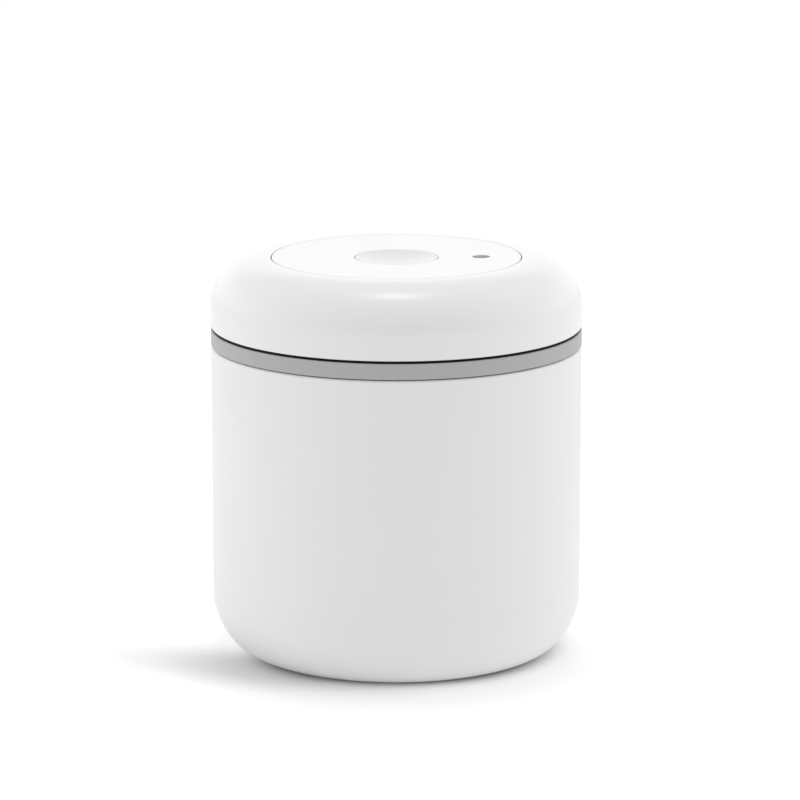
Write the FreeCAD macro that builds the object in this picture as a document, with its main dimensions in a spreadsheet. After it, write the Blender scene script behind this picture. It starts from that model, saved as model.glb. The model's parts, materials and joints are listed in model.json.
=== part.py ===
"""Vacuum seal canister: a steel vessel with a pump lid.

A white dome on the lid is twisted back and forth. It turns a cam ring, and the cam ring's
helical slots lift three pins on a piston, which draws air out of the vessel. A button in the
middle lets the air back in, and a small pin beside it sinks while the vacuum holds.
"""
import FreeCAD
import Part

import math
import os

import Sketcher

VECTOR = FreeCAD.Vector

# Points taken on each arc of a spring when its turns are checked against each other
ARC_SAMPLES = 9

# Driving sizes in millimetres, degrees and counts: alias, value, what it is
SIZES = (
    # The outside
    ("body_radius", "56", "outside radius of the vessel, the band and the dome"),
    ("vessel_height", "94.15", "vessel from its underside to its rim"),
    ("rim_gap", "0.3", "parting line between the rim and the band"),
    ("band_height", "4.65", "height of the band"),
    ("running_gap", "0.7", "dark line between the band and the dome"),
    ("dome_height", "20.95", "dome from its lower edge to its flat top"),
    # The vessel and its foot
    ("vessel_wall", "1", "steel wall"),
    ("wall_arc", "21.3", "larger arc, where the wall turns under"),
    ("under_arc", "12.6", "smaller arc, next to the underside"),
    ("wall_arc_turn", "40", "angle that the larger arc turns through"),
    ("rim_land", "5", "width of the rolled rim"),
    ("rim_round", "0.8", "rounding of the rim"),
    ("rim_lip_depth", "5", "depth of the rim's turned-down lip"),
    ("base_rim", "2.5", "flat ring outside the recess of the underside"),
    ("base_recess", "0.6", "depth of the recess of the underside"),
    ("foot_stand", "0.25", "how far the foot pad stands out"),
    ("foot_width", "11", "width of the foot pad"),
    ("foot_margin", "0.6", "space round the foot pad in its recess"),
    ("foot_round", "0.3", "rounding of the foot pad"),
    # The lid's base
    ("plug_depth", "10.4", "how far the lid reaches down into the vessel"),
    ("gasket_space", "2", "space for the gasket between the plug and the mouth"),
    ("skirt_wall", "1.6", "wall of the plug"),
    ("plug_round", "1", "rounding under the plug"),
    ("floor_thickness", "3", "floor of the lid"),
    ("bead_height", "1.2", "height of the bead that keeps the gasket on"),
    ("bead_reach", "0.7", "how far that bead stands out"),
    ("bead_drop", "0.5", "space between the gasket and the bead"),
    ("pillar_radius", "3.2", "pillars that carry the pump"),
    ("pilot_depth", "4", "depth of a pillar's screw hole"),
    ("register_gap", "0.2", "space between the pump and the rib round it"),
    ("register_width", "2", "width of the rib round the pump"),
    ("register_height", "2.5", "height of the rib round the pump"),
    # The gasket
    ("gasket_thickness", "2", "gasket between the rim and the lid"),
    ("gasket_sleeve_depth", "4.4", "sleeve of the gasket below the rim"),
    ("gasket_sleeve_wall", "0.9", "wall of that sleeve"),
    ("fin_height", "0.9", "height of a sealing fin"),
    ("fin_pitch", "1.6", "distance between the two fins"),
    ("gasket_clearance", "0.3", "space between the fins and the mouth"),
    # The band
    ("band_width", "2.8", "radial width of the band"),
    ("band_lip_thickness", "1.1", "lip by which the band is screwed down"),
    ("band_round", "0.25", "rounding of the band's edges"),
    ("spigot_wall", "1.8", "wall of the spigot inside the dome"),
    ("spigot_rise", "1.8", "how far the spigot reaches into the dome"),
    ("spigot_clearance", "0.4", "space between the spigot and the dome"),
    ("glide_setback", "0.6", "how far the glide ring lies behind the surface"),
    # The dome
    ("dome_wall", "2.2", "wall of the dome"),
    ("crown_arc", "28", "larger arc, next to the flat top"),
    ("shoulder_arc", "13.7", "smaller arc, next to the side"),
    ("crown_turn", "12", "angle that the larger arc turns through"),
    ("crown_flat", "1.47", "flat edge between the plate's seam and the arc"),
    ("edge_round", "0.8", "rounding of the dome's lower edge"),
    ("collar_wall", "1.8", "wall of the collar that drives the cam ring"),
    ("collar_rise", "1.95", "height of the collar's lower end above the dome's"),
    ("hook_overlap", "1.45", "how far the plate lies over the dome's hook"),
    ("hook_thickness", "1.7", "thickness of that hook"),
    ("key_width", "4.8", "width of a drive key"),
    ("key_height", "9.5", "height of a drive key"),
    ("key_setback", "0.4", "space between a key and the outside of the collar"),
    # The plate on top
    ("plate_thickness", "2.2", "plate on top, at its edge"),
    ("plate_dish", "0.22", "how much lower the plate lies at the button than at its edge"),
    ("seam_gap", "0.3", "seam between the plate and the dome"),
    ("plate_round", "0.25", "rounding of the edges on top"),
    ("plate_standoff", "3", "space between the plate and the retainer"),
    ("peg_radius", "2", "pegs of the plate"),
    ("peg_shoulder_radius", "3", "shoulders of those pegs"),
    ("peg_margin", "0.4", "space between a shoulder and the dome's hook"),
    ("peg_angle", "30", "place of the first peg"),
    # The pump
    ("pump_inset", "9.2", "distance from the plug's wall in to the cylinder"),
    ("cylinder_wall", "2", "wall of the cylinder"),
    ("cylinder_flange_thickness", "2", "flange of the cylinder"),
    ("cylinder_rim_thickness", "3", "rim on top of the cylinder"),
    ("cylinder_rim_width", "2.2", "inward width of that rim"),
    ("retainer_thickness", "2", "ring that holds the cam ring down"),
    ("retainer_setback", "1", "how far that ring lies inside the cam ring's edge"),
    ("cam_wall", "3.4", "wall of the cam ring"),
    ("slip_thickness", "0.4", "slip rings above and below the cam ring"),
    ("slip_play", "0.1", "play of the cam ring on its slip rings"),
    ("slip_margin", "0.2", "space beside a slip ring"),
    ("stroke", "6", "travel of the piston"),
    ("stroke_margin", "1", "space above the piston at the end of its travel"),
    ("twist_range", "75", "angle that the dome turns through"),
    ("pin_radius", "2", "follower pins"),
    ("pin_drop", "3.2", "distance from the top of the piston down to the pins"),
    ("pin_stand", "4.8", "distance from the cylinder's flange up to the pins"),
    ("pin_head_radius", "2.8", "heads of the pins"),
    ("pin_head_length", "1", "length of those heads"),
    ("slot_clearance", "0.25", "space between a pin and its slots"),
    ("piston_rest_gap", "0.4", "space under the piston at rest"),
    ("crown_thickness", "4", "crown of the piston"),
    ("piston_skirt_wall", "2", "skirt of the piston"),
    # Seals
    ("seal_cord", "1.9", "cord of the two large piston seals"),
    ("guide_seal_cord", "1.2", "cord of the seal round the indicator's tube"),
    ("flange_seal_cord", "1.3", "cord of the seal under the cylinder"),
    ("pin_seal_cord", "0.7", "cord of the seal on the indicator"),
    ("seal_clearance", "0.1", "space round a seal in its groove"),
    # Valves
    ("valve_radius", "5", "flap of an umbrella valve"),
    ("valve_thickness", "1", "thickness of a flap in the middle"),
    ("valve_edge", "0.4", "thickness of a flap at its edge"),
    ("valve_stem_radius", "0.8", "stem of an umbrella valve"),
    ("valve_bulb_radius", "1.35", "bulb that holds the stem"),
    ("valve_bulb_height", "1.3", "height of that bulb"),
    ("valve_recess", "1.4", "depth of the intake valve's recess"),
    ("valve_recess_margin", "1", "space round the intake flap"),
    ("vent_radius", "1", "air holes under a flap"),
    ("vent_circle", "2.9", "circle that those holes lie on"),
    ("exhaust_recess", "2.2", "recess under the exhaust valve"),
    ("exhaust_recess_radius", "4.2", "radius of that recess"),
    ("intake_angle", "180", "place of the intake valve"),
    ("exhaust_angle", "90", "place of the exhaust valve"),
    # The filter under the intake
    ("filter_radius", "8.3", "filter disc"),
    ("filter_thickness", "0.8", "thickness of the filter"),
    ("filter_ledge", "0.6", "ledge that the filter lies against"),
    ("filter_drop", "1.9", "distance from the lid's floor down to that ledge"),
    ("filter_cap_thickness", "1.2", "cap that holds the filter"),
    ("housing_wall", "1.5", "wall round the filter"),
    ("grille_radius", "0.9", "holes of the filter cap"),
    ("grille_circle", "4.6", "circle that those holes lie on"),
    # The release valve and its button
    ("tube_bore", "4.4", "bore of the air tube"),
    ("tube_wall", "2.1", "wall of the air tube"),
    ("seat_rise", "1", "height of the valve seat above the floor"),
    ("seat_web", "2", "thickness of the valve seat"),
    ("port_radius", "3", "air port in the valve seat"),
    ("poppet_recess_radius", "5.2", "recess round the release valve"),
    ("poppet_radius", "4.7", "release valve's seal"),
    ("poppet_thickness", "1.5", "thickness of that seal"),
    ("poppet_gap", "0.1", "space between that seal and its seat"),
    ("stem_radius", "1.5", "valve stem"),
    ("stem_disc_radius", "4.3", "disc at the foot of the stem"),
    ("stem_disc_thickness", "1.2", "thickness of that disc"),
    ("button_radius", "12.5", "release button"),
    ("button_gap", "0.2", "seam round the button"),
    ("button_dish", "1.4", "depth of the button's dish"),
    ("button_flange_reach", "1.6", "flange that keeps the button in"),
    ("button_flange_thickness", "1.5", "thickness of that flange"),
    ("button_stop_gap", "0.2", "space between that flange and the plate"),
    ("button_hub_radius", "3.5", "hub that takes the stem"),
    ("button_hub_length", "5", "length of that hub"),
    ("button_roof", "0.6", "least thickness over the stem"),
    ("spring_room", "8.5", "distance from the plate down to the air tube"),
    ("button_spring_wire", "0.7", "wire of the button's spring"),
    ("button_spring_turns", "3.5", "turns of that spring"),
    # The vacuum indicator
    ("indicator_radius", "2.55", "head of the indicator"),
    ("indicator_gap", "0.15", "seam round the indicator"),
    ("indicator_sink", "0.05", "how far the head lies below the plate's top"),
    ("indicator_margin", "0.8", "least space from the indicator to the button and to the pump's rim"),
    ("indicator_place_share", "0.624", "place of the indicator within the room that leaves"),
    ("indicator_tube_radius", "3.6", "outside of the indicator's tube"),
    ("indicator_bore", "2.4", "bore of that tube"),
    ("indicator_web", "3", "height of the tube's bottom above the floor"),
    ("indicator_head_room", "7", "distance from the plate down to that tube"),
    ("indicator_vent", "0.8", "air hole in the tube's bottom"),
    ("indicator_collar_radius", "3.8", "collar that stops the indicator"),
    ("indicator_collar_thickness", "1.7", "thickness of that collar"),
    ("indicator_stop_gap", "0.3", "space between that collar and the plate"),
    ("indicator_shaft_radius", "1.3", "shaft of the indicator"),
    ("indicator_piston_length", "4", "piston at the indicator's foot"),
    ("indicator_spring_length", "10", "space for the indicator's spring"),
    ("indicator_spring_wire", "0.4", "wire of that spring"),
    ("indicator_spring_turns", "6", "turns of that spring"),
    ("spring_margin", "0.15", "space beside and at the ends of a spring"),
    # Fasteners and fits
    ("screw_inset", "3", "distance from the plug's wall in to the cylinder's screws"),
    ("screw_radius", "1.2", "shank of a cylinder screw"),
    ("screw_head_radius", "2.4", "head of a cylinder screw"),
    ("screw_head_height", "1.6", "height of that head"),
    ("retainer_screw_inset", "2.1", "distance from the cylinder's outside in to the retainer's screws"),
    ("retainer_screw_length", "2.4", "reach of those screws below the retainer"),
    ("small_screw_radius", "1", "shank of a small screw"),
    ("small_head_radius", "1.8", "head of a small screw"),
    ("small_head_height", "0.9", "height of that head"),
    ("screw_tip_gap", "0.3", "space past the end of a screw"),
    ("socket_depth_share", "0.45", "depth of a screw's socket as a share of its head"),
    ("fit_clearance", "0.1", "fit between fixed or running round pieces"),
    ("slide_clearance", "0.3", "space between pieces that pass each other"),
    ("overrun", "1", "how far a cut runs past the piece"),
    ("screw_count", "6", "screws in each set"),
    ("pin_count", "3", "follower pins, slots, keys and pegs"),
    ("grille_count", "6", "outer holes of the filter cap"),
)

doc = FreeCAD.newDocument("vacuum_canister")
bodies = []


class Size:
    """A number paired with the expression that gives it in the document."""

    def __init__(self, value, text):
        self.value = value
        self.text = text

    def __add__(self, other):
        other = sized(other)
        return Size(self.value + other.value, f"({self.text} + {other.text})")

    def __sub__(self, other):
        other = sized(other)
        return Size(self.value - other.value, f"({self.text} - {other.text})")

    def __mul__(self, other):
        other = sized(other)
        return Size(self.value * other.value, f"({self.text} * {other.text})")

    def __truediv__(self, other):
        other = sized(other)
        return Size(self.value / other.value, f"({self.text} / {other.text})")

    def __neg__(self):
        return sized(0) - self

    def __radd__(self, other):
        return sized(other) + self

    def __rsub__(self, other):
        return sized(other) - self

    def __rmul__(self, other):
        return sized(other) * self


def sized(number):
    """A plain number as a Size."""
    return number if isinstance(number, Size) else Size(number, repr(number))


def sine(angle):
    return Size(math.sin(math.radians(angle.value)), f"sin({angle.text})")


def cosine(angle):
    return Size(math.cos(math.radians(angle.value)), f"cos({angle.text})")


def arcsine(ratio):
    """The angle in degrees whose sine is the ratio."""
    return Size(math.degrees(math.asin(ratio.value)), f"(asin({ratio.text}) / 1 deg)")


def fill_sheet():
    """Write the sizes to the document's sheet, and return them by name."""
    sheet = doc.addObject("Spreadsheet::Sheet", "Sizes")
    found = {}
    for row, (alias, value, note) in enumerate(SIZES, start=1):
        sheet.set(f"A{row}", alias)
        sheet.set(f"B{row}", value)
        sheet.set(f"C{row}", note)
        sheet.setAlias(f"B{row}", alias)
        found[alias] = Size(float(value), f"Sizes.{alias}")
    doc.recompute()
    return found


class Sizes:
    """The driving sizes as attributes."""

    def __init__(self, found):
        self.__dict__.update(found)


s = Sizes(fill_sheet())

# Heights from the floor up, then from the top down to the pump
vessel_bottom = s.foot_stand
rim_top = vessel_bottom + s.vessel_height
band_bottom = rim_top + s.rim_gap
band_top = band_bottom + s.band_height
dome_bottom = band_top + s.running_gap
lid_top = dome_bottom + s.dome_height
button_top = lid_top - s.plate_dish
plate_bottom = lid_top - s.plate_thickness
retainer_top = plate_bottom - s.plate_standoff
cylinder_top = retainer_top - s.retainer_thickness
cylinder_rim_bottom = cylinder_top - s.cylinder_rim_thickness
cam_top = cylinder_top - s.slip_thickness - s.slip_play
piston_top = cylinder_rim_bottom - s.stroke_margin - s.stroke
pin_height = piston_top - s.pin_drop
flange_top = pin_height - s.pin_stand
flange_bottom = flange_top - s.cylinder_flange_thickness
cam_bottom = flange_top + s.slip_thickness + s.slip_play
floor_bottom = rim_top - s.plug_depth
floor_top = floor_bottom + s.floor_thickness
seat_bottom = rim_top + s.gasket_thickness
seat_top = band_top - s.band_lip_thickness
crown_bottom = floor_top + s.piston_rest_gap
crown_top = crown_bottom + s.crown_thickness
web_bottom = floor_top + s.seat_rise
web_top = web_bottom + s.seat_web
tube_top = plate_bottom - s.spring_room
indicator_web_top = floor_top + s.indicator_web
indicator_tube_top = plate_bottom - s.indicator_head_room
button_flange_top = plate_bottom - s.button_stop_gap
button_flange_bottom = button_flange_top - s.button_flange_thickness
collar_bottom = dome_bottom + s.collar_rise
hook_top = plate_bottom - s.slip_play
hook_bottom = hook_top - s.hook_thickness

# Radii from the outside in, then from the pump out
mouth_radius = s.body_radius - s.rim_land
plug_radius = mouth_radius - s.gasket_space
skirt_inner = plug_radius - s.skirt_wall
band_inner = s.body_radius - s.band_width
seat_radius = band_inner - s.fit_clearance
band_lip_inner = skirt_inner + s.slide_clearance
spigot_outer = s.body_radius - s.dome_wall - s.spigot_clearance
spigot_inner = spigot_outer - s.spigot_wall
cylinder_outer = skirt_inner - s.pump_inset
bore_radius = cylinder_outer - s.cylinder_wall
rim_opening = bore_radius - s.cylinder_rim_width
piston_outer = bore_radius - s.fit_clearance
piston_inner = piston_outer - s.piston_skirt_wall
cam_inner = cylinder_outer + s.fit_clearance
cam_outer = cam_inner + s.cam_wall
retainer_outer = cam_outer - s.retainer_setback
collar_inner = cam_outer + s.slide_clearance
collar_outer = collar_inner + s.collar_wall
key_outer = collar_outer - s.key_setback
crown_start = s.body_radius - s.shoulder_arc - (s.crown_arc - s.shoulder_arc) * sine(s.crown_turn)
dome_edge = crown_start - s.crown_flat
plate_radius = dome_edge - s.seam_gap
hook_inner = plate_radius - s.hook_overlap
peg_circle = hook_inner - s.peg_margin - s.peg_shoulder_radius
tube_outer = s.tube_bore + s.tube_wall
button_hole = s.button_radius + s.button_gap
indicator_hole = s.indicator_radius + s.indicator_gap
button_flange_radius = s.button_radius + s.button_flange_reach
indicator_nearest = button_flange_radius + s.indicator_margin + s.indicator_collar_radius
indicator_farthest = rim_opening - s.indicator_margin - s.indicator_tube_radius
indicator_offset = indicator_nearest + (indicator_farthest - indicator_nearest) * s.indicator_place_share
valve_offset = (tube_outer + bore_radius) / 2
screw_circle = skirt_inner - s.screw_inset
retainer_screw_circle = cylinder_outer - s.retainer_screw_inset
band_screw_circle = (band_lip_inner + spigot_inner) / 2
screw_hole = s.screw_radius + s.fit_clearance
small_screw_hole = s.small_screw_radius + s.fit_clearance
peg_hole = s.peg_radius + s.fit_clearance
stem_hole = s.valve_stem_radius + s.fit_clearance
stem_bore = s.stem_radius + s.fit_clearance
pin_hole = s.pin_radius + s.fit_clearance
guide_hole = s.indicator_tube_radius + s.fit_clearance

# Places of the valves, and the angles of the cam
intake_x = valve_offset * cosine(s.intake_angle)
intake_y = valve_offset * sine(s.intake_angle)
exhaust_x = valve_offset * cosine(s.exhaust_angle)
exhaust_y = valve_offset * sine(s.exhaust_angle)
key_angle = 180 + (180 / s.pin_count.value) - s.twist_range / 2
slot_half = s.pin_radius + s.slot_clearance
slot_end_angle = arcsine((slot_half + s.slot_clearance) / cam_inner)
slot_sweep = s.twist_range + slot_end_angle * 2
slot_rise = s.stroke * slot_sweep / s.twist_range
slot_start = pin_height - s.stroke * slot_end_angle / s.twist_range


def bind(thing, path, size):
    """Tie a property of a feature to the sizes."""
    thing.setExpression(path, sized(size).text)


def new_body(label, across=0, along=0):
    """An empty piece whose own axis stands at a place on the floor plan."""
    body = doc.addObject("PartDesign::Body", label)
    body.Label = label
    bind(body, "Placement.Base.x", across)
    bind(body, "Placement.Base.y", along)
    bodies.append(body)
    return body


def origin_part(body, role):
    """The plane or axis of a piece's own origin."""
    for feature in body.Origin.OriginFeatures:
        if feature.Role == role:
            return feature
    raise ValueError(role)


def new_sketch(body, role, offset=0, turn=0, turn_axis=VECTOR(0, 0, 1)):
    """A sketch on one of the piece's planes, moved along the plane's normal and turned."""
    sketch = body.newObject("Sketcher::SketchObject", "Sketch")
    sketch.AttachmentSupport = [(origin_part(body, role), "")]
    sketch.MapMode = "FlatFace"
    sketch.AttachmentOffset = FreeCAD.Placement(VECTOR(), FreeCAD.Rotation(turn_axis, sized(turn).value))
    bind(sketch, "AttachmentOffset.Base.z", offset)
    if isinstance(turn, Size):
        bind(sketch, "AttachmentOffset.Rotation.Angle", turn)
    return sketch


def constrain(sketch, kind, places, size):
    """Add a constraint whose size is tied to the sizes."""
    index = sketch.addConstraint(Sketcher.Constraint(kind, *places, sized(size).value))
    bind(sketch, f"Constraints[{index}]", size)


def fix_point(sketch, shape, vertex, across, up):
    """Hold a point of a sketch at two sizes. A plain zero puts it on the axis."""
    if isinstance(across, Size):
        constrain(sketch, "DistanceX", (-1, 1, shape, vertex), across)
    else:
        sketch.addConstraint(Sketcher.Constraint("PointOnObject", shape, vertex, -2))
    if isinstance(up, Size):
        constrain(sketch, "DistanceY", (-1, 1, shape, vertex), up)
    else:
        sketch.addConstraint(Sketcher.Constraint("PointOnObject", shape, vertex, -1))


def arc_between(start, end, radius):
    """The short arc from start to end. A positive radius turns left, a negative one right."""
    chord = end - start
    middle = (start + end) / 2
    left = VECTOR(-chord.y, chord.x, 0) / chord.Length
    height = math.sqrt(max(radius * radius - chord.Length * chord.Length / 4, 0))
    centre = middle + left * math.copysign(height, radius)
    first, last = (start, end) if radius > 0 else (end, start)
    begin = math.atan2(first.y - centre.y, first.x - centre.x)
    finish = math.atan2(last.y - centre.y, last.x - centre.x)
    circle = Part.Circle(centre, VECTOR(0, 0, 1), abs(radius))
    return Part.ArcOfCircle(circle, begin, finish)


def draw_outline(sketch, points):
    """Draw a closed outline through points of (across, up).

    A third size on a point is the radius of an arc that leads on to the next point.
    """
    places = [VECTOR(sized(point[0]).value, sized(point[1]).value, 0) for point in points]
    ends = []
    for index, point in enumerate(points):
        start = places[index]
        end = places[(index + 1) % len(points)]
        if len(point) == 2:
            shape = sketch.addGeometry(Part.LineSegment(start, end), False)
            ends.append((shape, 1, 2))
            continue
        shape = sketch.addGeometry(arc_between(start, end, point[2].value), False)
        ends.append((shape, 1, 2) if point[2].value > 0 else (shape, 2, 1))
    for index, point in enumerate(points):
        shape, first, last = ends[index]
        following, next_first, next_last = ends[(index + 1) % len(points)]
        sketch.addConstraint(Sketcher.Constraint("Coincident", shape, last, following, next_first))
    for index, point in enumerate(points):
        shape, first, last = ends[index]
        fix_point(sketch, shape, first, point[0], point[1])
        if len(point) == 3:
            size = point[2] if point[2].value > 0 else -point[2]
            constrain(sketch, "Radius", (shape,), size)


def draw_circle(sketch, across, up, radius):
    """Draw a circle at a place of the sketch."""
    centre = VECTOR(sized(across).value, sized(up).value, 0)
    shape = sketch.addGeometry(Part.Circle(centre, VECTOR(0, 0, 1), radius.value), False)
    constrain(sketch, "Radius", (shape,), radius)
    fix_point(sketch, shape, 3, across, up)


def box_outline(left, right, bottom, top):
    """The four corners of an upright rectangle."""
    return [(left, bottom), (right, bottom), (right, top), (left, top)]


def revolve(body, sketch):
    """Turn a sketch about the piece's own axis."""
    feature = body.newObject("PartDesign::Revolution", "Revolution")
    feature.Profile = sketch
    feature.ReferenceAxis = (sketch, ["V_Axis"])
    feature.Angle = 360
    doc.recompute()
    return feature


def turn_outline(body, points):
    """Add a turned form to a piece from its outline of (radius, height)."""
    sketch = new_sketch(body, "XZ_Plane")
    draw_outline(sketch, points)
    return revolve(body, sketch)


def turned(label, points, across=0, along=0):
    """A piece that is one turned form."""
    body = new_body(label, across, along)
    turn_outline(body, points)
    return body


def cord_ring(label, radius, height, cord, across=0, along=0):
    """A seal ring of round cord."""
    body = new_body(label, across, along)
    sketch = new_sketch(body, "XZ_Plane")
    draw_circle(sketch, radius, height, cord / 2)
    revolve(body, sketch)
    return body


def pad(body, sketch, length):
    """Grow a sketch along its normal."""
    feature = body.newObject("PartDesign::Pad", "Pad")
    feature.Profile = sketch
    bind(feature, "Length", length)
    doc.recompute()
    return feature


def pocket(body, sketch, depth):
    """Cut a sketch away against its normal, and make sure that something was cut."""
    before = body.Shape.Volume
    feature = body.newObject("PartDesign::Pocket", "Pocket")
    feature.Profile = sketch
    bind(feature, "Length", depth)
    doc.recompute()
    if not body.Shape.Volume < before:
        raise RuntimeError(f"a cut in {body.Label} removed nothing")
    return feature


def round_pad(body, bottom, top, circles):
    """Grow circles of (across, along, radius) from one height up to another."""
    sketch = new_sketch(body, "XY_Plane", bottom)
    for across, along, radius in circles:
        draw_circle(sketch, across, along, radius)
    return pad(body, sketch, top - bottom)


def drill(body, top, depth, circles):
    """Cut circles of (across, along, radius) down from a height."""
    sketch = new_sketch(body, "XY_Plane", top)
    for across, along, radius in circles:
        draw_circle(sketch, across, along, radius)
    return pocket(body, sketch, depth)


def repeat_round(body, features, count):
    """Repeat features evenly round the piece's axis."""
    pattern = body.newObject("PartDesign::PolarPattern", "PolarPattern")
    pattern.Originals = features
    pattern.Axis = (origin_part(body, "Z_Axis"), [""])
    pattern.Angle = 360
    bind(pattern, "Occurrences", count)
    body.Tip = pattern
    doc.recompute()
    return pattern


def make_vessel():
    """Steel vessel: rounded base with a recess for the foot pad, and a rolled rim."""
    wall_centre_radius = s.body_radius - s.wall_arc
    across_share = cosine(s.wall_arc_turn)
    down_share = sine(s.wall_arc_turn)
    under_start = wall_centre_radius + (s.wall_arc - s.under_arc) * across_share
    wall_centre = vessel_bottom + s.under_arc + (s.wall_arc - s.under_arc) * down_share
    join_radius = wall_centre_radius + s.wall_arc * across_share
    join_height = wall_centre - s.wall_arc * down_share
    inner_arc = s.wall_arc - s.vessel_wall
    recess_edge = under_start - s.base_rim
    recess_inner = recess_edge - s.base_recess
    inside = s.body_radius - s.vessel_wall
    lip_inner = mouth_radius + s.vessel_wall
    turned("vessel", [
        (0, vessel_bottom + s.base_recess),
        (recess_inner, vessel_bottom + s.base_recess),
        (recess_edge, vessel_bottom),
        (under_start, vessel_bottom, s.under_arc),
        (join_radius, join_height, s.wall_arc),
        (s.body_radius, wall_centre),
        (s.body_radius, rim_top - s.rim_round, s.rim_round),
        (s.body_radius - s.rim_round, rim_top),
        (mouth_radius + s.rim_round, rim_top, s.rim_round),
        (mouth_radius, rim_top - s.rim_round),
        (mouth_radius, rim_top - s.rim_lip_depth),
        (lip_inner, rim_top - s.rim_lip_depth),
        (lip_inner, rim_top - s.vessel_wall),
        (inside, rim_top - s.vessel_wall),
        (inside, wall_centre, -inner_arc),
        (wall_centre_radius + inner_arc * across_share, wall_centre - inner_arc * down_share,
         s.vessel_wall - s.under_arc),
        (under_start, vessel_bottom + s.vessel_wall),
        (recess_edge, vessel_bottom + s.vessel_wall),
        (recess_inner, vessel_bottom + s.base_recess + s.vessel_wall),
        (0, vessel_bottom + s.base_recess + s.vessel_wall),
    ])
    make_foot_pad(recess_inner - s.foot_margin)


def make_foot_pad(outer):
    """Silicone ring in the recess of the underside, which the canister stands on."""
    inner = outer - s.foot_width
    top = vessel_bottom + s.base_recess
    turned("foot_pad", [
        (inner + s.foot_round, 0),
        (outer - s.foot_round, 0, s.foot_round),
        (outer, s.foot_round),
        (outer, top),
        (inner, top),
        (inner, s.foot_round, s.foot_round),
    ])


def make_lid_base():
    """Base of the lid: plug, flange, air tube, pillars for the pump and the intake's housing."""
    body = new_body("lid_base")
    bead_top = rim_top - s.gasket_sleeve_depth - s.bead_drop
    bead_bottom = bead_top - s.bead_height
    rib_inner = cylinder_outer + s.register_gap
    rib_outer = rib_inner + s.register_width
    rib_top = floor_top + s.register_height
    groove_middle = (bore_radius + cylinder_outer) / 2
    groove_half = s.flange_seal_cord / 2 + s.seal_clearance
    groove_bottom = floor_top - s.flange_seal_cord - s.seal_clearance * 2
    turn_outline(body, [
        (s.poppet_recess_radius, floor_bottom),
        (plug_radius - s.plug_round, floor_bottom, s.plug_round),
        (plug_radius, floor_bottom + s.plug_round),
        (plug_radius, bead_bottom),
        (plug_radius + s.bead_reach, (bead_bottom + bead_top) / 2),
        (plug_radius, bead_top),
        (plug_radius, seat_bottom),
        (seat_radius, seat_bottom),
        (seat_radius, seat_top),
        (skirt_inner, seat_top),
        (skirt_inner, floor_top),
        (rib_outer, floor_top),
        (rib_outer, rib_top),
        (rib_inner, rib_top),
        (rib_inner, floor_top),
        (groove_middle + groove_half, floor_top),
        (groove_middle + groove_half, groove_bottom),
        (groove_middle - groove_half, groove_bottom),
        (groove_middle - groove_half, floor_top),
        (tube_outer, floor_top),
        (tube_outer, tube_top),
        (s.tube_bore, tube_top),
        (s.tube_bore, web_top),
        (s.port_radius, web_top),
        (s.port_radius, web_bottom),
        (s.poppet_recess_radius, web_bottom),
    ])
    pillar = round_pad(body, floor_bottom, flange_bottom, [(screw_circle, 0, s.pillar_radius)])
    repeat_round(body, [pillar], s.screw_count)
    pilot = drill(body, flange_bottom, s.pilot_depth, [(screw_circle, 0, screw_hole)])
    repeat_round(body, [pilot], s.screw_count)
    band_hole_depth = seat_top - seat_bottom - s.screw_tip_gap
    band_hole = drill(body, seat_top, band_hole_depth, [(band_screw_circle, 0, small_screw_hole)])
    repeat_round(body, [band_hole], s.screw_count)
    round_pad(body, floor_bottom, indicator_tube_top, [(indicator_offset, 0, s.indicator_tube_radius)])
    drill(body, indicator_tube_top, indicator_tube_top - indicator_web_top,
          [(indicator_offset, 0, s.indicator_bore)])
    drill(body, indicator_web_top, indicator_web_top - floor_bottom + s.overrun,
          [(indicator_offset, 0, s.indicator_vent)])
    add_filter_housing(body)
    drill(body, floor_top, s.valve_recess, [(intake_x, intake_y, s.valve_radius + s.valve_recess_margin)])
    drill(body, floor_top, s.floor_thickness + s.overrun, vent_circles(intake_x, intake_y))
    cord_ring("cylinder_seal", groove_middle, groove_bottom + s.seal_clearance + s.flange_seal_cord / 2,
              s.flange_seal_cord)


def vent_circles(across, along):
    """Four air holes and a stem hole under an umbrella valve."""
    return [
        (across, along, stem_hole),
        (across + s.vent_circle, along, s.vent_radius),
        (across - s.vent_circle, along, s.vent_radius),
        (across, along + s.vent_circle, s.vent_radius),
        (across, along - s.vent_circle, s.vent_radius),
    ]


def add_filter_housing(body):
    """Stepped ring under the lid's floor, round the intake filter."""
    bore = s.filter_radius + s.fit_clearance
    outer = bore + s.housing_wall
    ledge = floor_bottom - s.filter_drop
    bottom = ledge - s.filter_thickness - s.filter_cap_thickness
    round_pad(body, ledge, floor_bottom, [
        (intake_x, intake_y, outer),
        (intake_x, intake_y, s.filter_radius - s.filter_ledge),
    ])
    round_pad(body, bottom, ledge, [(intake_x, intake_y, outer), (intake_x, intake_y, bore)])


def make_filter():
    """Filter disc under the intake valve, and the cap with holes that holds it."""
    ledge = floor_bottom - s.filter_drop
    cap_top = ledge - s.filter_thickness
    cap_bottom = cap_top - s.filter_cap_thickness
    turned("intake_filter", [
        (0, cap_top),
        (s.filter_radius, cap_top),
        (s.filter_radius, ledge),
        (0, ledge),
    ], intake_x, intake_y)
    cap = turned("filter_cap", [
        (0, cap_bottom),
        (s.filter_radius, cap_bottom),
        (s.filter_radius, cap_top),
        (0, cap_top),
    ], intake_x, intake_y)
    drill(cap, cap_top, s.filter_cap_thickness + s.overrun, [(0, 0, s.grille_radius)])
    hole = drill(cap, cap_top, s.filter_cap_thickness + s.overrun, [(s.grille_circle, 0, s.grille_radius)])
    repeat_round(cap, [hole], s.grille_count)


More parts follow.
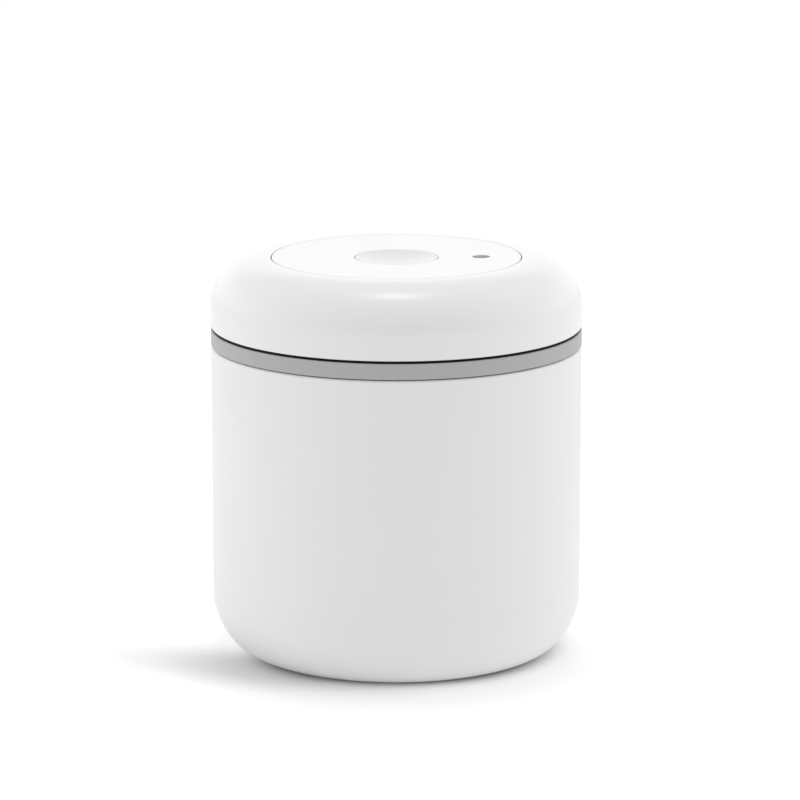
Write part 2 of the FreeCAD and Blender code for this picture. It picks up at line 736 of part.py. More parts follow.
def make_rim_gasket():
    """Silicone gasket: a flat ring on the rim, and a sleeve with two fins inside the mouth."""
    inner = plug_radius + s.seal_clearance
    sleeve = inner + s.gasket_sleeve_wall
    fin = mouth_radius - s.gasket_clearance
    sleeve_bottom = rim_top - s.gasket_sleeve_depth
    low = sleeve_bottom + s.fin_height
    high = low + s.fin_pitch
    turned("rim_gasket", [
        (inner, sleeve_bottom),
        (sleeve, sleeve_bottom),
        (sleeve, low - s.fin_height / 2),
        (fin, low),
        (sleeve, low + s.fin_height / 2),
        (sleeve, high - s.fin_height / 2),
        (fin, high),
        (sleeve, high + s.fin_height / 2),
        (sleeve, rim_top),
        (seat_radius - s.seal_clearance, rim_top),
        (seat_radius - s.seal_clearance, seat_bottom),
        (inner, seat_bottom),
    ])


def make_base_ring():
    """Band under the dome, screwed to the lid's base, with a spigot inside the dome."""
    spigot_top = dome_bottom + s.spigot_rise
    edge = s.body_radius - s.band_round
    body = turned("base_ring", [
        (band_inner, band_bottom),
        (edge, band_bottom, s.band_round),
        (s.body_radius, band_bottom + s.band_round),
        (s.body_radius, band_top - s.band_round, s.band_round),
        (edge, band_top),
        (spigot_outer, band_top),
        (spigot_outer, spigot_top),
        (spigot_inner, spigot_top),
        (spigot_inner, band_top),
        (band_lip_inner, band_top),
        (band_lip_inner, seat_top),
        (band_inner, seat_top),
    ])
    hole = drill(body, band_top, s.band_lip_thickness + s.overrun, [(band_screw_circle, 0, small_screw_hole)])
    repeat_round(body, [hole], s.screw_count)
    glide_inner = spigot_outer + s.fit_clearance
    turned("glide_ring", box_outline(glide_inner, s.body_radius - s.glide_setback,
                                     band_top, dome_bottom - s.slip_play))


def make_cylinder():
    """Pump cylinder with a flange, upright slots for the pins and a rim on top."""
    flange_radius = skirt_inner - s.slide_clearance
    body = turned("pump_cylinder", [
        (bore_radius, floor_top),
        (cylinder_outer, floor_top),
        (cylinder_outer, flange_bottom),
        (flange_radius, flange_bottom),
        (flange_radius, flange_top),
        (cylinder_outer, flange_top),
        (cylinder_outer, cylinder_top),
        (rim_opening, cylinder_top),
        (rim_opening, cylinder_rim_bottom),
        (bore_radius, cylinder_rim_bottom),
    ])
    hole = drill(body, flange_top, s.cylinder_flange_thickness + s.overrun, [(screw_circle, 0, screw_hole)])
    repeat_round(body, [hole], s.screw_count)
    pilot_depth = s.retainer_screw_length + s.screw_tip_gap
    pilot = drill(body, cylinder_top, pilot_depth, [(retainer_screw_circle, 0, small_screw_hole)])
    repeat_round(body, [pilot], s.screw_count)
    sketch = new_sketch(body, "YZ_Plane")
    draw_outline(sketch, box_outline(-slot_half, slot_half,
                                     pin_height - slot_half, pin_height + s.stroke + slot_half))
    slot = pocket(body, sketch, cylinder_outer + s.overrun)
    repeat_round(body, [slot], s.pin_count)


def make_retainer():
    """Ring screwed on the cylinder, over the cam ring, with ears that take the plate's pegs."""
    body = turned("retainer_ring", box_outline(rim_opening, retainer_outer, cylinder_top, retainer_top))
    peg_x = peg_circle * cosine(s.peg_angle)
    peg_y = peg_circle * sine(s.peg_angle)
    ear = round_pad(body, cylinder_top, retainer_top, [(peg_x, peg_y, s.peg_shoulder_radius)])
    repeat_round(body, [ear], s.pin_count)
    depth = s.retainer_thickness + s.overrun
    hole = drill(body, retainer_top, depth, [(retainer_screw_circle, 0, small_screw_hole)])
    repeat_round(body, [hole], s.screw_count)
    socket = drill(body, retainer_top, depth, [(peg_x, peg_y, peg_hole)])
    repeat_round(body, [socket], s.pin_count)


def make_slip_rings():
    """Thin rings that the cam ring slides on."""
    inner = cam_inner + s.slip_margin
    turned("lower_slip_ring", box_outline(inner, cam_outer - s.slip_margin,
                                          flange_top, flange_top + s.slip_thickness))
    turned("upper_slip_ring", box_outline(inner, retainer_outer - s.slip_margin,
                                          cylinder_top - s.slip_thickness, cylinder_top))


def make_top_plate():
    """Plate on top, held by three pegs, with holes for the button and the indicator."""
    body = turned("top_plate", [
        (button_hole, plate_bottom),
        (plate_radius, plate_bottom),
        (plate_radius, lid_top - s.plate_round, s.plate_round),
        (plate_radius - s.plate_round, lid_top),
        (button_hole + s.plate_round, button_top, s.plate_round),
        (button_hole, button_top - s.plate_round),
    ])
    middle = plate_bottom + s.plate_thickness / 2
    peg_x = peg_circle * cosine(s.peg_angle)
    peg_y = peg_circle * sine(s.peg_angle)
    shoulder = round_pad(body, retainer_top, middle, [(peg_x, peg_y, s.peg_shoulder_radius)])
    peg = round_pad(body, cylinder_top + s.screw_tip_gap, middle, [(peg_x, peg_y, s.peg_radius)])
    repeat_round(body, [shoulder, peg], s.pin_count)
    drill(body, lid_top, s.plate_thickness + s.overrun, [(indicator_offset, 0, indicator_hole)])


def make_dome():
    """Twist dome: a rounded shell, a hook under the plate and a collar that drives the cam ring."""
    body = new_body("twist_dome")
    crown_centre = lid_top - s.crown_arc
    shoulder_centre_radius = s.body_radius - s.shoulder_arc
    shoulder_centre = crown_centre + (s.crown_arc - s.shoulder_arc) * cosine(s.crown_turn)
    across_share = sine(s.crown_turn)
    up_share = cosine(s.crown_turn)
    inner_shoulder = s.shoulder_arc - s.dome_wall
    inner_crown = s.crown_arc - s.dome_wall
    inside = s.body_radius - s.dome_wall
    turn_outline(body, [
        (s.body_radius - s.edge_round, dome_bottom, s.edge_round),
        (s.body_radius, dome_bottom + s.edge_round),
        (s.body_radius, shoulder_centre, s.shoulder_arc),
        (crown_start + s.crown_arc * across_share, crown_centre + s.crown_arc * up_share, s.crown_arc),
        (crown_start, lid_top),
        (dome_edge + s.plate_round, lid_top, s.plate_round),
        (dome_edge, lid_top - s.plate_round),
        (dome_edge, lid_top - s.dome_wall),
        (crown_start, lid_top - s.dome_wall, -inner_crown),
        (shoulder_centre_radius + inner_shoulder * across_share, shoulder_centre + inner_shoulder * up_share,
         -inner_shoulder),
        (inside, shoulder_centre),
        (inside, dome_bottom),
    ])
    shell_middle = lid_top - s.dome_wall / 2
    turn_outline(body, [
        (hook_inner, hook_bottom),
        (collar_inner, hook_bottom),
        (collar_inner, collar_bottom),
        (collar_outer, collar_bottom),
        (collar_outer, shell_middle),
        (dome_edge, shell_middle),
        (dome_edge, hook_top),
        (hook_inner, hook_top),
    ])
    notch_half = s.key_width / 2 + s.fit_clearance
    notch_top = collar_bottom + s.key_height + s.fit_clearance
    sketch = new_sketch(body, "XY_Plane", notch_top, key_angle)
    draw_outline(sketch, box_outline(cam_outer, collar_outer + s.overrun, -notch_half, notch_half))
    notch = pocket(body, sketch, notch_top - dome_bottom)
    repeat_round(body, [notch], s.pin_count)


def make_cam_ring():
    """Cam ring with helical slots for the pins, and keys that the dome's collar turns."""
    body = turned("cam_ring", box_outline(cam_inner, cam_outer, cam_bottom, cam_top))
    key_half = s.key_width / 2
    sketch = new_sketch(body, "XY_Plane", collar_bottom, key_angle)
    draw_outline(sketch, box_outline((cam_inner + cam_outer) / 2, key_outer, -key_half, key_half))
    key = pad(body, sketch, s.key_height)
    repeat_round(body, [key], s.pin_count)
    before = body.Shape.Volume
    section = new_sketch(body, "XZ_Plane", 0, slot_end_angle, VECTOR(0, 1, 0))
    draw_outline(section, box_outline(-(cam_outer + s.slide_clearance), -(cam_inner - s.slide_clearance),
                                      slot_start - slot_half, slot_start + slot_half))
    slot = body.newObject("PartDesign::SubtractiveHelix", "Slot")
    slot.Profile = section
    slot.ReferenceAxis = (origin_part(body, "Z_Axis"), [""])
    slot.Mode = "height-turns-angle"
    bind(slot, "Height", slot_rise)
    bind(slot, "Turns", slot_sweep / 360)
    slot.LeftHanded = True
    doc.recompute()
    if not body.Shape.Volume < before:
        raise RuntimeError("the cam ring's slot removed nothing")
    repeat_round(body, [slot], s.pin_count)


def make_piston():
    """Piston: crown with grooves and the exhaust valve's seat, and a skirt that carries the pins."""
    body = new_body("piston")
    hole = tube_outer + s.fit_clearance
    groove_depth = s.seal_cord + s.seal_clearance * 2 - s.fit_clearance
    groove_half = s.seal_cord / 2 + s.seal_clearance
    middle = (crown_bottom + crown_top) / 2
    low = middle - groove_half
    high = middle + groove_half
    turn_outline(body, [
        (hole, crown_bottom),
        (piston_outer, crown_bottom),
        (piston_outer, low),
        (piston_outer - groove_depth, low),
        (piston_outer - groove_depth, high),
        (piston_outer, high),
        (piston_outer, piston_top),
        (piston_inner, piston_top),
        (piston_inner, crown_top),
        (hole, crown_top),
        (hole, high),
        (hole + groove_depth, high),
        (hole + groove_depth, low),
        (hole, low),
    ])
    drill(body, crown_top, s.crown_thickness + s.overrun, [(indicator_offset, 0, guide_hole)])
    guide_groove = s.indicator_tube_radius + s.guide_seal_cord + s.seal_clearance * 2
    guide_half = s.guide_seal_cord / 2 + s.seal_clearance
    drill(body, middle + guide_half, guide_half * 2, [(indicator_offset, 0, guide_groove)])
    drill(body, crown_bottom + s.exhaust_recess, s.exhaust_recess + s.overrun,
          [(exhaust_x, exhaust_y, s.exhaust_recess_radius)])
    drill(body, crown_top, s.crown_thickness + s.overrun, vent_circles(exhaust_x, exhaust_y))
    sketch = new_sketch(body, "YZ_Plane")
    draw_circle(sketch, 0, pin_height, pin_hole)
    bore = pocket(body, sketch, piston_outer + s.overrun)
    repeat_round(body, [bore], s.pin_count)
    cord_ring("piston_seal", bore_radius - s.seal_clearance - s.seal_cord / 2, middle, s.seal_cord)
    cord_ring("tube_seal", tube_outer + s.seal_clearance + s.seal_cord / 2, middle, s.seal_cord)
    cord_ring("guide_seal", s.indicator_tube_radius + s.seal_clearance + s.guide_seal_cord / 2, middle,
              s.guide_seal_cord, indicator_offset)


def make_follower_pins():
    """Three headed pins that stand out of the piston, through the cylinder, into the cam ring."""
    body = new_body("follower_pins")
    body.AllowCompound = True
    tip = cam_outer - s.slide_clearance
    head_end = piston_inner - s.slide_clearance
    shank_sketch = new_sketch(body, "YZ_Plane", -tip)
    draw_circle(shank_sketch, 0, pin_height, s.pin_radius)
    shank = pad(body, shank_sketch, tip - head_end)
    head_sketch = new_sketch(body, "YZ_Plane", -head_end)
    draw_circle(head_sketch, 0, pin_height, s.pin_head_radius)
    head = pad(body, head_sketch, s.pin_head_length)
    repeat_round(body, [shank, head], s.pin_count)


def make_umbrella(label, seat, web, across, along):
    """Umbrella valve: a flap on its seat, a stem through the web and a bulb below it."""
    bulb_top = seat - web
    bulb_bottom = bulb_top - s.valve_bulb_height
    turned(label, [
        (0, bulb_bottom),
        (s.valve_stem_radius, bulb_bottom),
        (s.valve_bulb_radius, bulb_top - s.valve_bulb_height / 2),
        (s.valve_bulb_radius, bulb_top),
        (s.valve_stem_radius, bulb_top),
        (s.valve_stem_radius, seat),
        (s.valve_radius, seat),
        (s.valve_radius, seat + s.valve_edge),
        (0, seat + s.valve_thickness),
    ], across, along)


def make_button():
    """Dished release button with a hub, the valve stem in it, and the seal on the stem's disc."""
    socket_top = button_top - s.button_dish - s.button_roof
    hub_bottom = button_flange_bottom - s.button_hub_length
    rim = s.button_radius - s.plate_round
    dish_arc = (rim * rim + s.button_dish * s.button_dish) / (s.button_dish * 2)
    turned("release_button", [
        (stem_bore, hub_bottom),
        (s.button_hub_radius, hub_bottom),
        (s.button_hub_radius, button_flange_bottom),
        (button_flange_radius, button_flange_bottom),
        (button_flange_radius, button_flange_top),
        (s.button_radius, button_flange_top),
        (s.button_radius, button_top - s.plate_round, s.plate_round),
        (rim, button_top, -dish_arc),
        (0, button_top - s.button_dish),
        (0, socket_top),
        (stem_bore, socket_top),
    ])
    poppet_top = web_bottom - s.poppet_gap
    disc_top = poppet_top - s.poppet_thickness
    disc_bottom = disc_top - s.stem_disc_thickness
    turned("valve_stem", [
        (0, disc_bottom),
        (s.stem_disc_radius, disc_bottom),
        (s.stem_disc_radius, disc_top),
        (s.stem_radius, disc_top),
        (s.stem_radius, socket_top),
        (0, socket_top),
    ])
    turned("poppet_seal", box_outline(stem_bore, s.poppet_radius, disc_top, poppet_top))


def make_indicator():
    """Vacuum indicator: a headed pin with a stop collar and a small sealed piston."""
    foot = indicator_web_top + s.indicator_spring_length
    piston_end = foot + s.indicator_piston_length
    piston_radius = s.indicator_bore - s.fit_clearance
    groove = s.indicator_bore - s.pin_seal_cord - s.seal_clearance * 2
    middle = (foot + piston_end) / 2
    groove_half = s.pin_seal_cord / 2 + s.seal_clearance
    collar_top = plate_bottom - s.indicator_stop_gap
    collar_low = collar_top - s.indicator_collar_thickness
    plate_fall = s.plate_dish * (plate_radius - indicator_offset) / (plate_radius - button_hole)
    head_top = lid_top - plate_fall - s.indicator_sink
    turned("indicator_pin", [
        (0, foot),
        (piston_radius, foot),
        (piston_radius, middle - groove_half),
        (groove, middle - groove_half),
        (groove, middle + groove_half),
        (piston_radius, middle + groove_half),
        (piston_radius, piston_end),
        (s.indicator_shaft_radius, piston_end),
        (s.indicator_shaft_radius, collar_low),
        (s.indicator_collar_radius, collar_low),
        (s.indicator_collar_radius, collar_top),
        (s.indicator_radius, collar_top),
        (s.indicator_radius, head_top - s.plate_round, s.plate_round),
        (s.indicator_radius - s.plate_round, head_top),
        (0, head_top),
    ], indicator_offset)
    cord_ring("indicator_seal", s.indicator_bore - s.seal_clearance - s.pin_seal_cord / 2, middle,
              s.pin_seal_cord, indicator_offset)


def make_screws(label, circle, seat, reach, shank, head, height):
    """A set of pan-head screws round the lid's axis, each with a round socket."""
    body = new_body(label)
    body.AllowCompound = True
    shaft = round_pad(body, seat - reach, seat, [(circle, 0, shank)])
    cap = round_pad(body, seat, seat + height, [(circle, 0, head)])
    socket_depth = height * s.socket_depth_share
    socket = drill(body, seat + height, socket_depth, [(circle, 0, shank)])
    repeat_round(body, [shaft, cap, socket], s.screw_count)


def biarc(start, start_way, end, end_way):
    """Two arcs that join two points and keep the way given at each."""
    chord = end - start
    ways = start_way + end_way
    spread = 2 * (1 - start_way.dot(end_way))
    reach = (math.sqrt(chord.dot(ways) ** 2 + spread * chord.dot(chord)) - chord.dot(ways)) / spread
    first_corner = start + start_way * reach
    last_corner = end - end_way * reach
    joint = (first_corner + last_corner) / 2
    return [corner_arc(start, first_corner, joint), corner_arc(joint, last_corner, end)]


def corner_arc(start, corner, end):
    """The arc from start to end whose tangents meet at the corner."""
    middle = (start + end) / 2
    depth = (corner - middle).Length
    side = (corner - start).Length
    radius = side * (start - middle).Length / depth
    crest = corner + (middle - corner) / depth * (side * side / depth - radius)
    return Part.Arc(start, crest, end).toShape()


def least_gap(points, wire, skip):
    """The least space between one turn of a coil and another."""
    nearest = min(
        points[first].distanceToPoint(points[second])
        for first in range(len(points))
        for second in range(first + skip, len(points))
    )
    return nearest - wire


def make_spring(label, radius, bottom, top, wire, turns, across):
    """A coil spring round an upright axis, as one tube along quarter turns."""
    quarters = round(turns * 4)
    low = bottom + wire / 2
    rise = (top - bottom - wire) / quarters
    step = math.pi / 2
    places = []
    ways = []
    for index in range(quarters + 1):
        angle = index * step
        places.append(VECTOR(radius * math.cos(angle), radius * math.sin(angle), low + rise * index))
        way = VECTOR(-radius * math.sin(angle), radius * math.cos(angle), rise / step)
        ways.append(way.normalize())
    edges = []
    for index in range(quarters):
        edges += biarc(places[index], ways[index], places[index + 1], ways[index + 1])
    path = Part.Wire(edges)
    section = Part.Wire(Part.Circle(places[0], ways[0], wire / 2).toShape())
    coil = doc.addObject("Part::Feature", label)
    coil.Label = label
    coil.Shape = path.makePipeShell([section], True, False)
    coil.Placement = FreeCAD.Placement(VECTOR(across, 0, 0), FreeCAD.Rotation())
    bodies.append(coil)
    samples = []
    for edge in edges:
        samples += edge.discretize(ARC_SAMPLES)[:-1]
    per_turn = len(samples) / turns
    print(f"{label}: least gap to itself {least_gap(samples, wire, int(per_turn / 2)):.2f} mm")


def make_springs():
    """Springs of the button and of the indicator, read from the sheet."""
    margin = s.spring_margin.value
    button_radius = (s.tube_bore.value + tube_outer.value) / 2
    make_spring("button_spring", button_radius, tube_top.value + margin, button_flange_bottom.value - margin,
                s.button_spring_wire.value, s.button_spring_turns.value, 0)
    wire = s.indicator_spring_wire.value
    bottom = indicator_web_top.value
    make_spring("indicator_spring", s.indicator_bore.value - margin - wire / 2, bottom + margin,
                bottom + s.indicator_spring_length.value - margin, wire, s.indicator_spring_turns.value,
                indicator_offset.value)


def check_and_write():
    """Stop on any failed feature or bad shape, then write each piece to its own file."""
    doc.recompute()
    for item in doc.Objects:
        if "Invalid" in item.State or "Error" in item.State:
            raise RuntimeError(f"{item.Name} of {item.Label} failed: {item.State}")
    for body in bodies:
        if body.Shape.isNull() or not body.Shape.isValid() or not body.Shape.Solids:
            raise RuntimeError(f"{body.Label} has no valid shape")
    os.makedirs("parts", exist_ok=True)
    for body in bodies:
        body.Shape.exportStep(f"parts/{body.Label}.step")
        print(f"{body.Label}: {len(body.Shape.Solids)} solid(s), {body.Shape.Volume:.1f} mm3")


make_vessel()
make_lid_base()
make_filter()
make_rim_gasket()
make_base_ring()
make_screws("band_screws", band_screw_circle, band_top, band_top - seat_bottom - s.screw_tip_gap * 2,
            s.small_screw_radius, s.small_head_radius, s.small_head_height)
make_cylinder()
make_screws("cylinder_screws", screw_circle, flange_top,
            s.cylinder_flange_thickness + s.pilot_depth - s.screw_tip_gap,
            s.screw_radius, s.screw_head_radius, s.screw_head_height)
make_retainer()
make_screws("retainer_screws", retainer_screw_circle, retainer_top,
            s.retainer_thickness + s.retainer_screw_length,
            s.small_screw_radius, s.small_head_radius, s.small_head_height)
make_slip_rings()
make_top_plate()
make_dome()
make_cam_ring()
make_piston()
make_follower_pins()
make_umbrella("intake_valve", floor_top - s.valve_recess, s.floor_thickness - s.valve_recess,
              intake_x, intake_y)
make_umbrella("exhaust_valve", crown_top, s.crown_thickness - s.exhaust_recess, exhaust_x, exhaust_y)
make_button()
make_indicator()
make_springs()
check_and_write()
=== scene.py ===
"""Vacuum seal canister: smooth shells, seals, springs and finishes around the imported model."""

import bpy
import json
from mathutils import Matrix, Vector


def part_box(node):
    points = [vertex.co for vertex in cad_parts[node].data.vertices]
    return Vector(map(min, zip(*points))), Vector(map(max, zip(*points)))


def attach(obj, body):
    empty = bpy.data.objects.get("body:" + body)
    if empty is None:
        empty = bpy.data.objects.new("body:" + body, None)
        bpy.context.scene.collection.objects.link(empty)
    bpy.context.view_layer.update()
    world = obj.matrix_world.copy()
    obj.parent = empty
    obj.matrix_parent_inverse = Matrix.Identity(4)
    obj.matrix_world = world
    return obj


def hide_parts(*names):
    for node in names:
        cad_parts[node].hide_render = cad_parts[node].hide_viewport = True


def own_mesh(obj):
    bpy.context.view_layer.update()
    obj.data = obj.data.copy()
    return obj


bl_info = {
    "name": "Vacuum seal canister",
    "version": (1, 0, 0),
    "blender": (4, 5, 0),
    "location": "View3D > Sidebar > Canister",
    "description": "Models and finishes the pieces of a canister whose lid pumps the air out",
    "category": "Object",
}

import json
import math

import bpy
from mathutils import Vector

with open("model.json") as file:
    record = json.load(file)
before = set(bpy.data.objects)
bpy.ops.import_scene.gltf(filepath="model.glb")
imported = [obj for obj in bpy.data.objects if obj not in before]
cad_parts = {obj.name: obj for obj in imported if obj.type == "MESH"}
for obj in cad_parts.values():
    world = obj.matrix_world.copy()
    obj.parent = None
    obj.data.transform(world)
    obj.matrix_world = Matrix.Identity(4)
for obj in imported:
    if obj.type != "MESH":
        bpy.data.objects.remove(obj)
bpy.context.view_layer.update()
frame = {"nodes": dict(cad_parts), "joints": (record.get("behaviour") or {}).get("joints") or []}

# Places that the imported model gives
vessel_low, vessel_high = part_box("vessel")
foot_low, foot_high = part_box("foot_pad")
band_low, band_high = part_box("base_ring")
glide_low, glide_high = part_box("glide_ring")
dome_low, dome_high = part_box("twist_dome")
plate_low, plate_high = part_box("top_plate")
button_low, button_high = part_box("release_button")
pin_low, pin_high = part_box("indicator_pin")
gasket_low, gasket_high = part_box("rim_gasket")
pin_axis = (pin_low.x + pin_high.x) / 2
lid_top = dome_high.z

MERGE_DISTANCE = 1e-6
SEED_SIZE = 0.001

# Steps of a spin
SPIN_STEPS = 192
LARGE_SEAL_STEPS = 160
BUTTON_STEPS = 128
SMALL_STEPS = 64
PEG_STEPS = 48

# Degrees from one point of an arc to the next
SHOWN_STEP = 2.5
INNER_STEP = 4.0
ROUNDING_STEP = 15.0
DOME_EDGE_STEP = 10.0
LIP_STEP = 22.5
FLARE_STEP = 18.0
DISH_STEP = 1.0
FLAP_STEP = 2.0
BULB_STEP = 21.0
CORD_STEP = 14.0

# Upward and outward parts of a normal that tell the vessel's inside from its outside
FACES_UP = 0.9
FACES_INWARD = -0.1

# Corners that turn by more degrees than these stay sharp
SHARP_CORNER = 32.0
CORD_CORNER = 60.0
FLAP_CORNER = 40.0
WIRE_CORNER = 50.0


def length(name, description, default):
    """A size in metres."""
    return bpy.props.FloatProperty(name=name, description=description, default=default, min=0.0,
                                   precision=5, subtype="DISTANCE", unit="LENGTH")


def angle(name, description, degrees):
    """An angle, given in degrees."""
    return bpy.props.FloatProperty(name=name, description=description, default=math.radians(degrees),
                                   subtype="ANGLE", unit="ROTATION")


def colour(name, description, red, green, blue):
    """A linear colour."""
    return bpy.props.FloatVectorProperty(name=name, description=description, default=(red, green, blue),
                                         size=3, min=0.0, max=1.0, subtype="COLOR")


def share(name, description, default):
    """A plain number."""
    return bpy.props.FloatProperty(name=name, description=description, default=default, min=0.0)


def number(name, description, default):
    """How many there are of something."""
    return bpy.props.IntProperty(name=name, description=description, default=default, min=1)


def film_length(name, description, default):
    """A size of the camera in millimetres."""
    return bpy.props.FloatProperty(name=name, description=description, default=default, min=1.0,
                                   subtype="DISTANCE_CAMERA")


def position(name, description, right, back, up):
    """A place in metres."""
    return bpy.props.FloatVectorProperty(name=name, description=description, default=(right, back, up),
                                         precision=5, subtype="TRANSLATION", unit="LENGTH")


class VesselSettings(bpy.types.PropertyGroup):
    """Sizes of the steel vessel and its foot."""

    radius: length("Radius", "Outside radius of the vessel", vessel_high.x)
    wall: length("Wall", "Steel wall", 0.001)
    wall_arc: length("Wall arc", "Larger arc, where the wall turns under", 0.0213)
    under_arc: length("Under arc", "Smaller arc, next to the underside", 0.0126)
    arc_turn: angle("Arc turn", "Angle that the larger arc turns through", 40.0)
    mouth: length("Mouth", "Radius of the mouth", 0.051)
    rim_round: length("Rim rounding", "Rounding of the rim", 0.0008)
    lip_depth: length("Lip depth", "Depth of the rim's turned-down lip", 0.005)
    base_rim: length("Base rim", "Flat ring outside the recess of the underside", 0.0025)
    base_recess: length("Base recess", "Depth of the recess of the underside", 0.0006)
    foot_width: length("Foot width", "Width of the foot pad", 0.011)
    foot_round: length("Foot rounding", "Rounding of the foot pad's edges", 0.0003)
    foot_grooves: number("Foot grooves", "Number of grooves in the foot pad", 3)
    foot_groove: length("Foot groove", "Depth of the grooves of the foot pad", 0.0002)
    groove_mouth: length("Groove mouth", "Half of the width of a groove at its mouth", 0.0006)
    groove_floor: length("Groove floor", "Half of the width of a groove at its floor", 0.0003)
    groove_round: length("Groove rounding", "Rounding of a groove's corners", 0.00008)


class LidSettings(bpy.types.PropertyGroup):
    """Sizes of the band, the dome and the plate on top."""

    band_bottom: length("Band bottom", "Height of the band's lower edge", band_low.z)
    band_top: length("Band top", "Height of the band's upper edge", glide_low.z)
    band_width: length("Band width", "Radial width of the band", 0.0028)
    band_lip: length("Band lip", "Thickness of the lip by which the band is screwed down", 0.0011)
    band_lip_inner: length("Band opening", "Radius of the opening in the band's lip", 0.0477)
    band_round: length("Band rounding", "Rounding of the band's edges", 0.00025)
    band_screws: number("Band screws", "Number of the band's screws", 6)
    band_screw_circle: length("Screw circle", "Circle that the band's screws lie on", 0.04965)
    band_screw_hole: length("Screw hole", "Radius of the band's screw holes", 0.0011)
    spigot_outer: length("Spigot", "Outside radius of the spigot in the dome", 0.0534)
    spigot_wall: length("Spigot wall", "Wall of that spigot", 0.0018)
    glide_gap: length("Glide gap", "Room between that spigot and the black ring", 0.0001)
    dome_wall: length("Dome wall", "Wall of the dome", 0.0022)
    crown_arc: length("Crown arc", "Larger arc, next to the flat top", 0.028)
    shoulder_arc: length("Shoulder arc", "Smaller arc, next to the side", 0.0137)
    crown_turn: angle("Crown turn", "Angle that the larger arc turns through", 12.0)
    crown_flat: length("Crown flat", "Flat edge between the seam and the arc", 0.00147)
    edge_round: length("Edge rounding", "Rounding of the dome's lower edge", 0.0008)
    hook_top: length("Hook top", "Height of the hook under the plate", lid_top - 0.0023)
    hook_bottom: length("Hook bottom", "Underside of that hook", lid_top - 0.004)
    hook_overlap: length("Hook overlap", "How far the plate lies over the hook", 0.00145)
    collar_inner: length("Collar", "Inside radius of the collar that drives the cam ring", 0.042)
    collar_wall: length("Collar wall", "Wall of that collar", 0.0018)
    collar_bottom: length("Collar bottom", "Height of the collar's lower end", dome_low.z + 0.00195)
    notches: number("Notches", "Number of notches for the drive keys", 3)
    notch_width: length("Notch width", "Width of a notch", 0.005)
    notch_top: length("Notch top", "Height of the top of a notch", dome_low.z + 0.01155)
    notch_angle: angle("Notch angle", "Place of the first notch", 202.5)
    plate_round: length("Plate rounding", "Rounding of the edges on top", 0.00025)
    seam: length("Seam", "Seam between the plate and the dome", 0.0003)
    plate_thickness: length("Plate", "Thickness of the plate at its edge", 0.0022)
    button_hole: length("Button hole", "Hole for the button", 0.0127)
    pin_hole: length("Indicator hole", "Hole for the indicator", 0.0027)
    pin_flare: length("Indicator flare", "Rounding of the edge of that hole", 0.0001)
    pegs: number("Pegs", "Number of the plate's pegs", 3)
    peg_circle: length("Peg circle", "Circle that the plate's pegs lie on", plate_high.x - 0.00485)
    peg_radius: length("Peg", "Radius of a peg", 0.002)
    peg_shoulder: length("Peg shoulder", "Radius of a peg's shoulder", 0.003)
    peg_stand: length("Peg stand", "Height of the shoulders' lower end", lid_top - 0.0052)
    peg_angle: angle("Peg angle", "Place of the first peg", 30.0)


class ControlSettings(bpy.types.PropertyGroup):
    """Sizes of the button and the indicator."""

    button_radius: length("Button", "Radius of the button", 0.0125)
    button_dish: length("Button dish", "Depth of the button's dish", 0.0014)
    flange_top: length("Flange top", "Height of the button's flange", lid_top - 0.0024)
    flange_thickness: length("Flange", "Thickness of that flange", 0.0015)
    hub_radius: length("Hub", "Radius of the hub that takes the stem", 0.0035)
    hub_bore: length("Hub bore", "Bore of that hub", 0.0016)
    socket_top: length("Socket top", "Height of the top of the hub's bore", button_high.z - 0.002)
    pin_head: length("Indicator head", "Radius of the indicator's head", 0.00255)
    pin_shaft: length("Indicator shaft", "Radius of its shaft", 0.0013)
    pin_piston: length("Indicator piston", "Radius of its piston", 0.0023)
    pin_piston_length: length("Piston length", "Length of that piston", 0.004)
    pin_groove: length("Piston groove", "Radius of the groove in that piston", 0.0015)
    pin_groove_half: length("Groove half", "Half of the width of that groove", 0.00045)
    collar_top: length("Collar top", "Height of the indicator's stop collar", lid_top - 0.0025)
    collar_thickness: length("Collar", "Thickness of that collar", 0.0017)
    edge_round: length("Edge rounding", "Rounding of the edges that show", 0.00025)


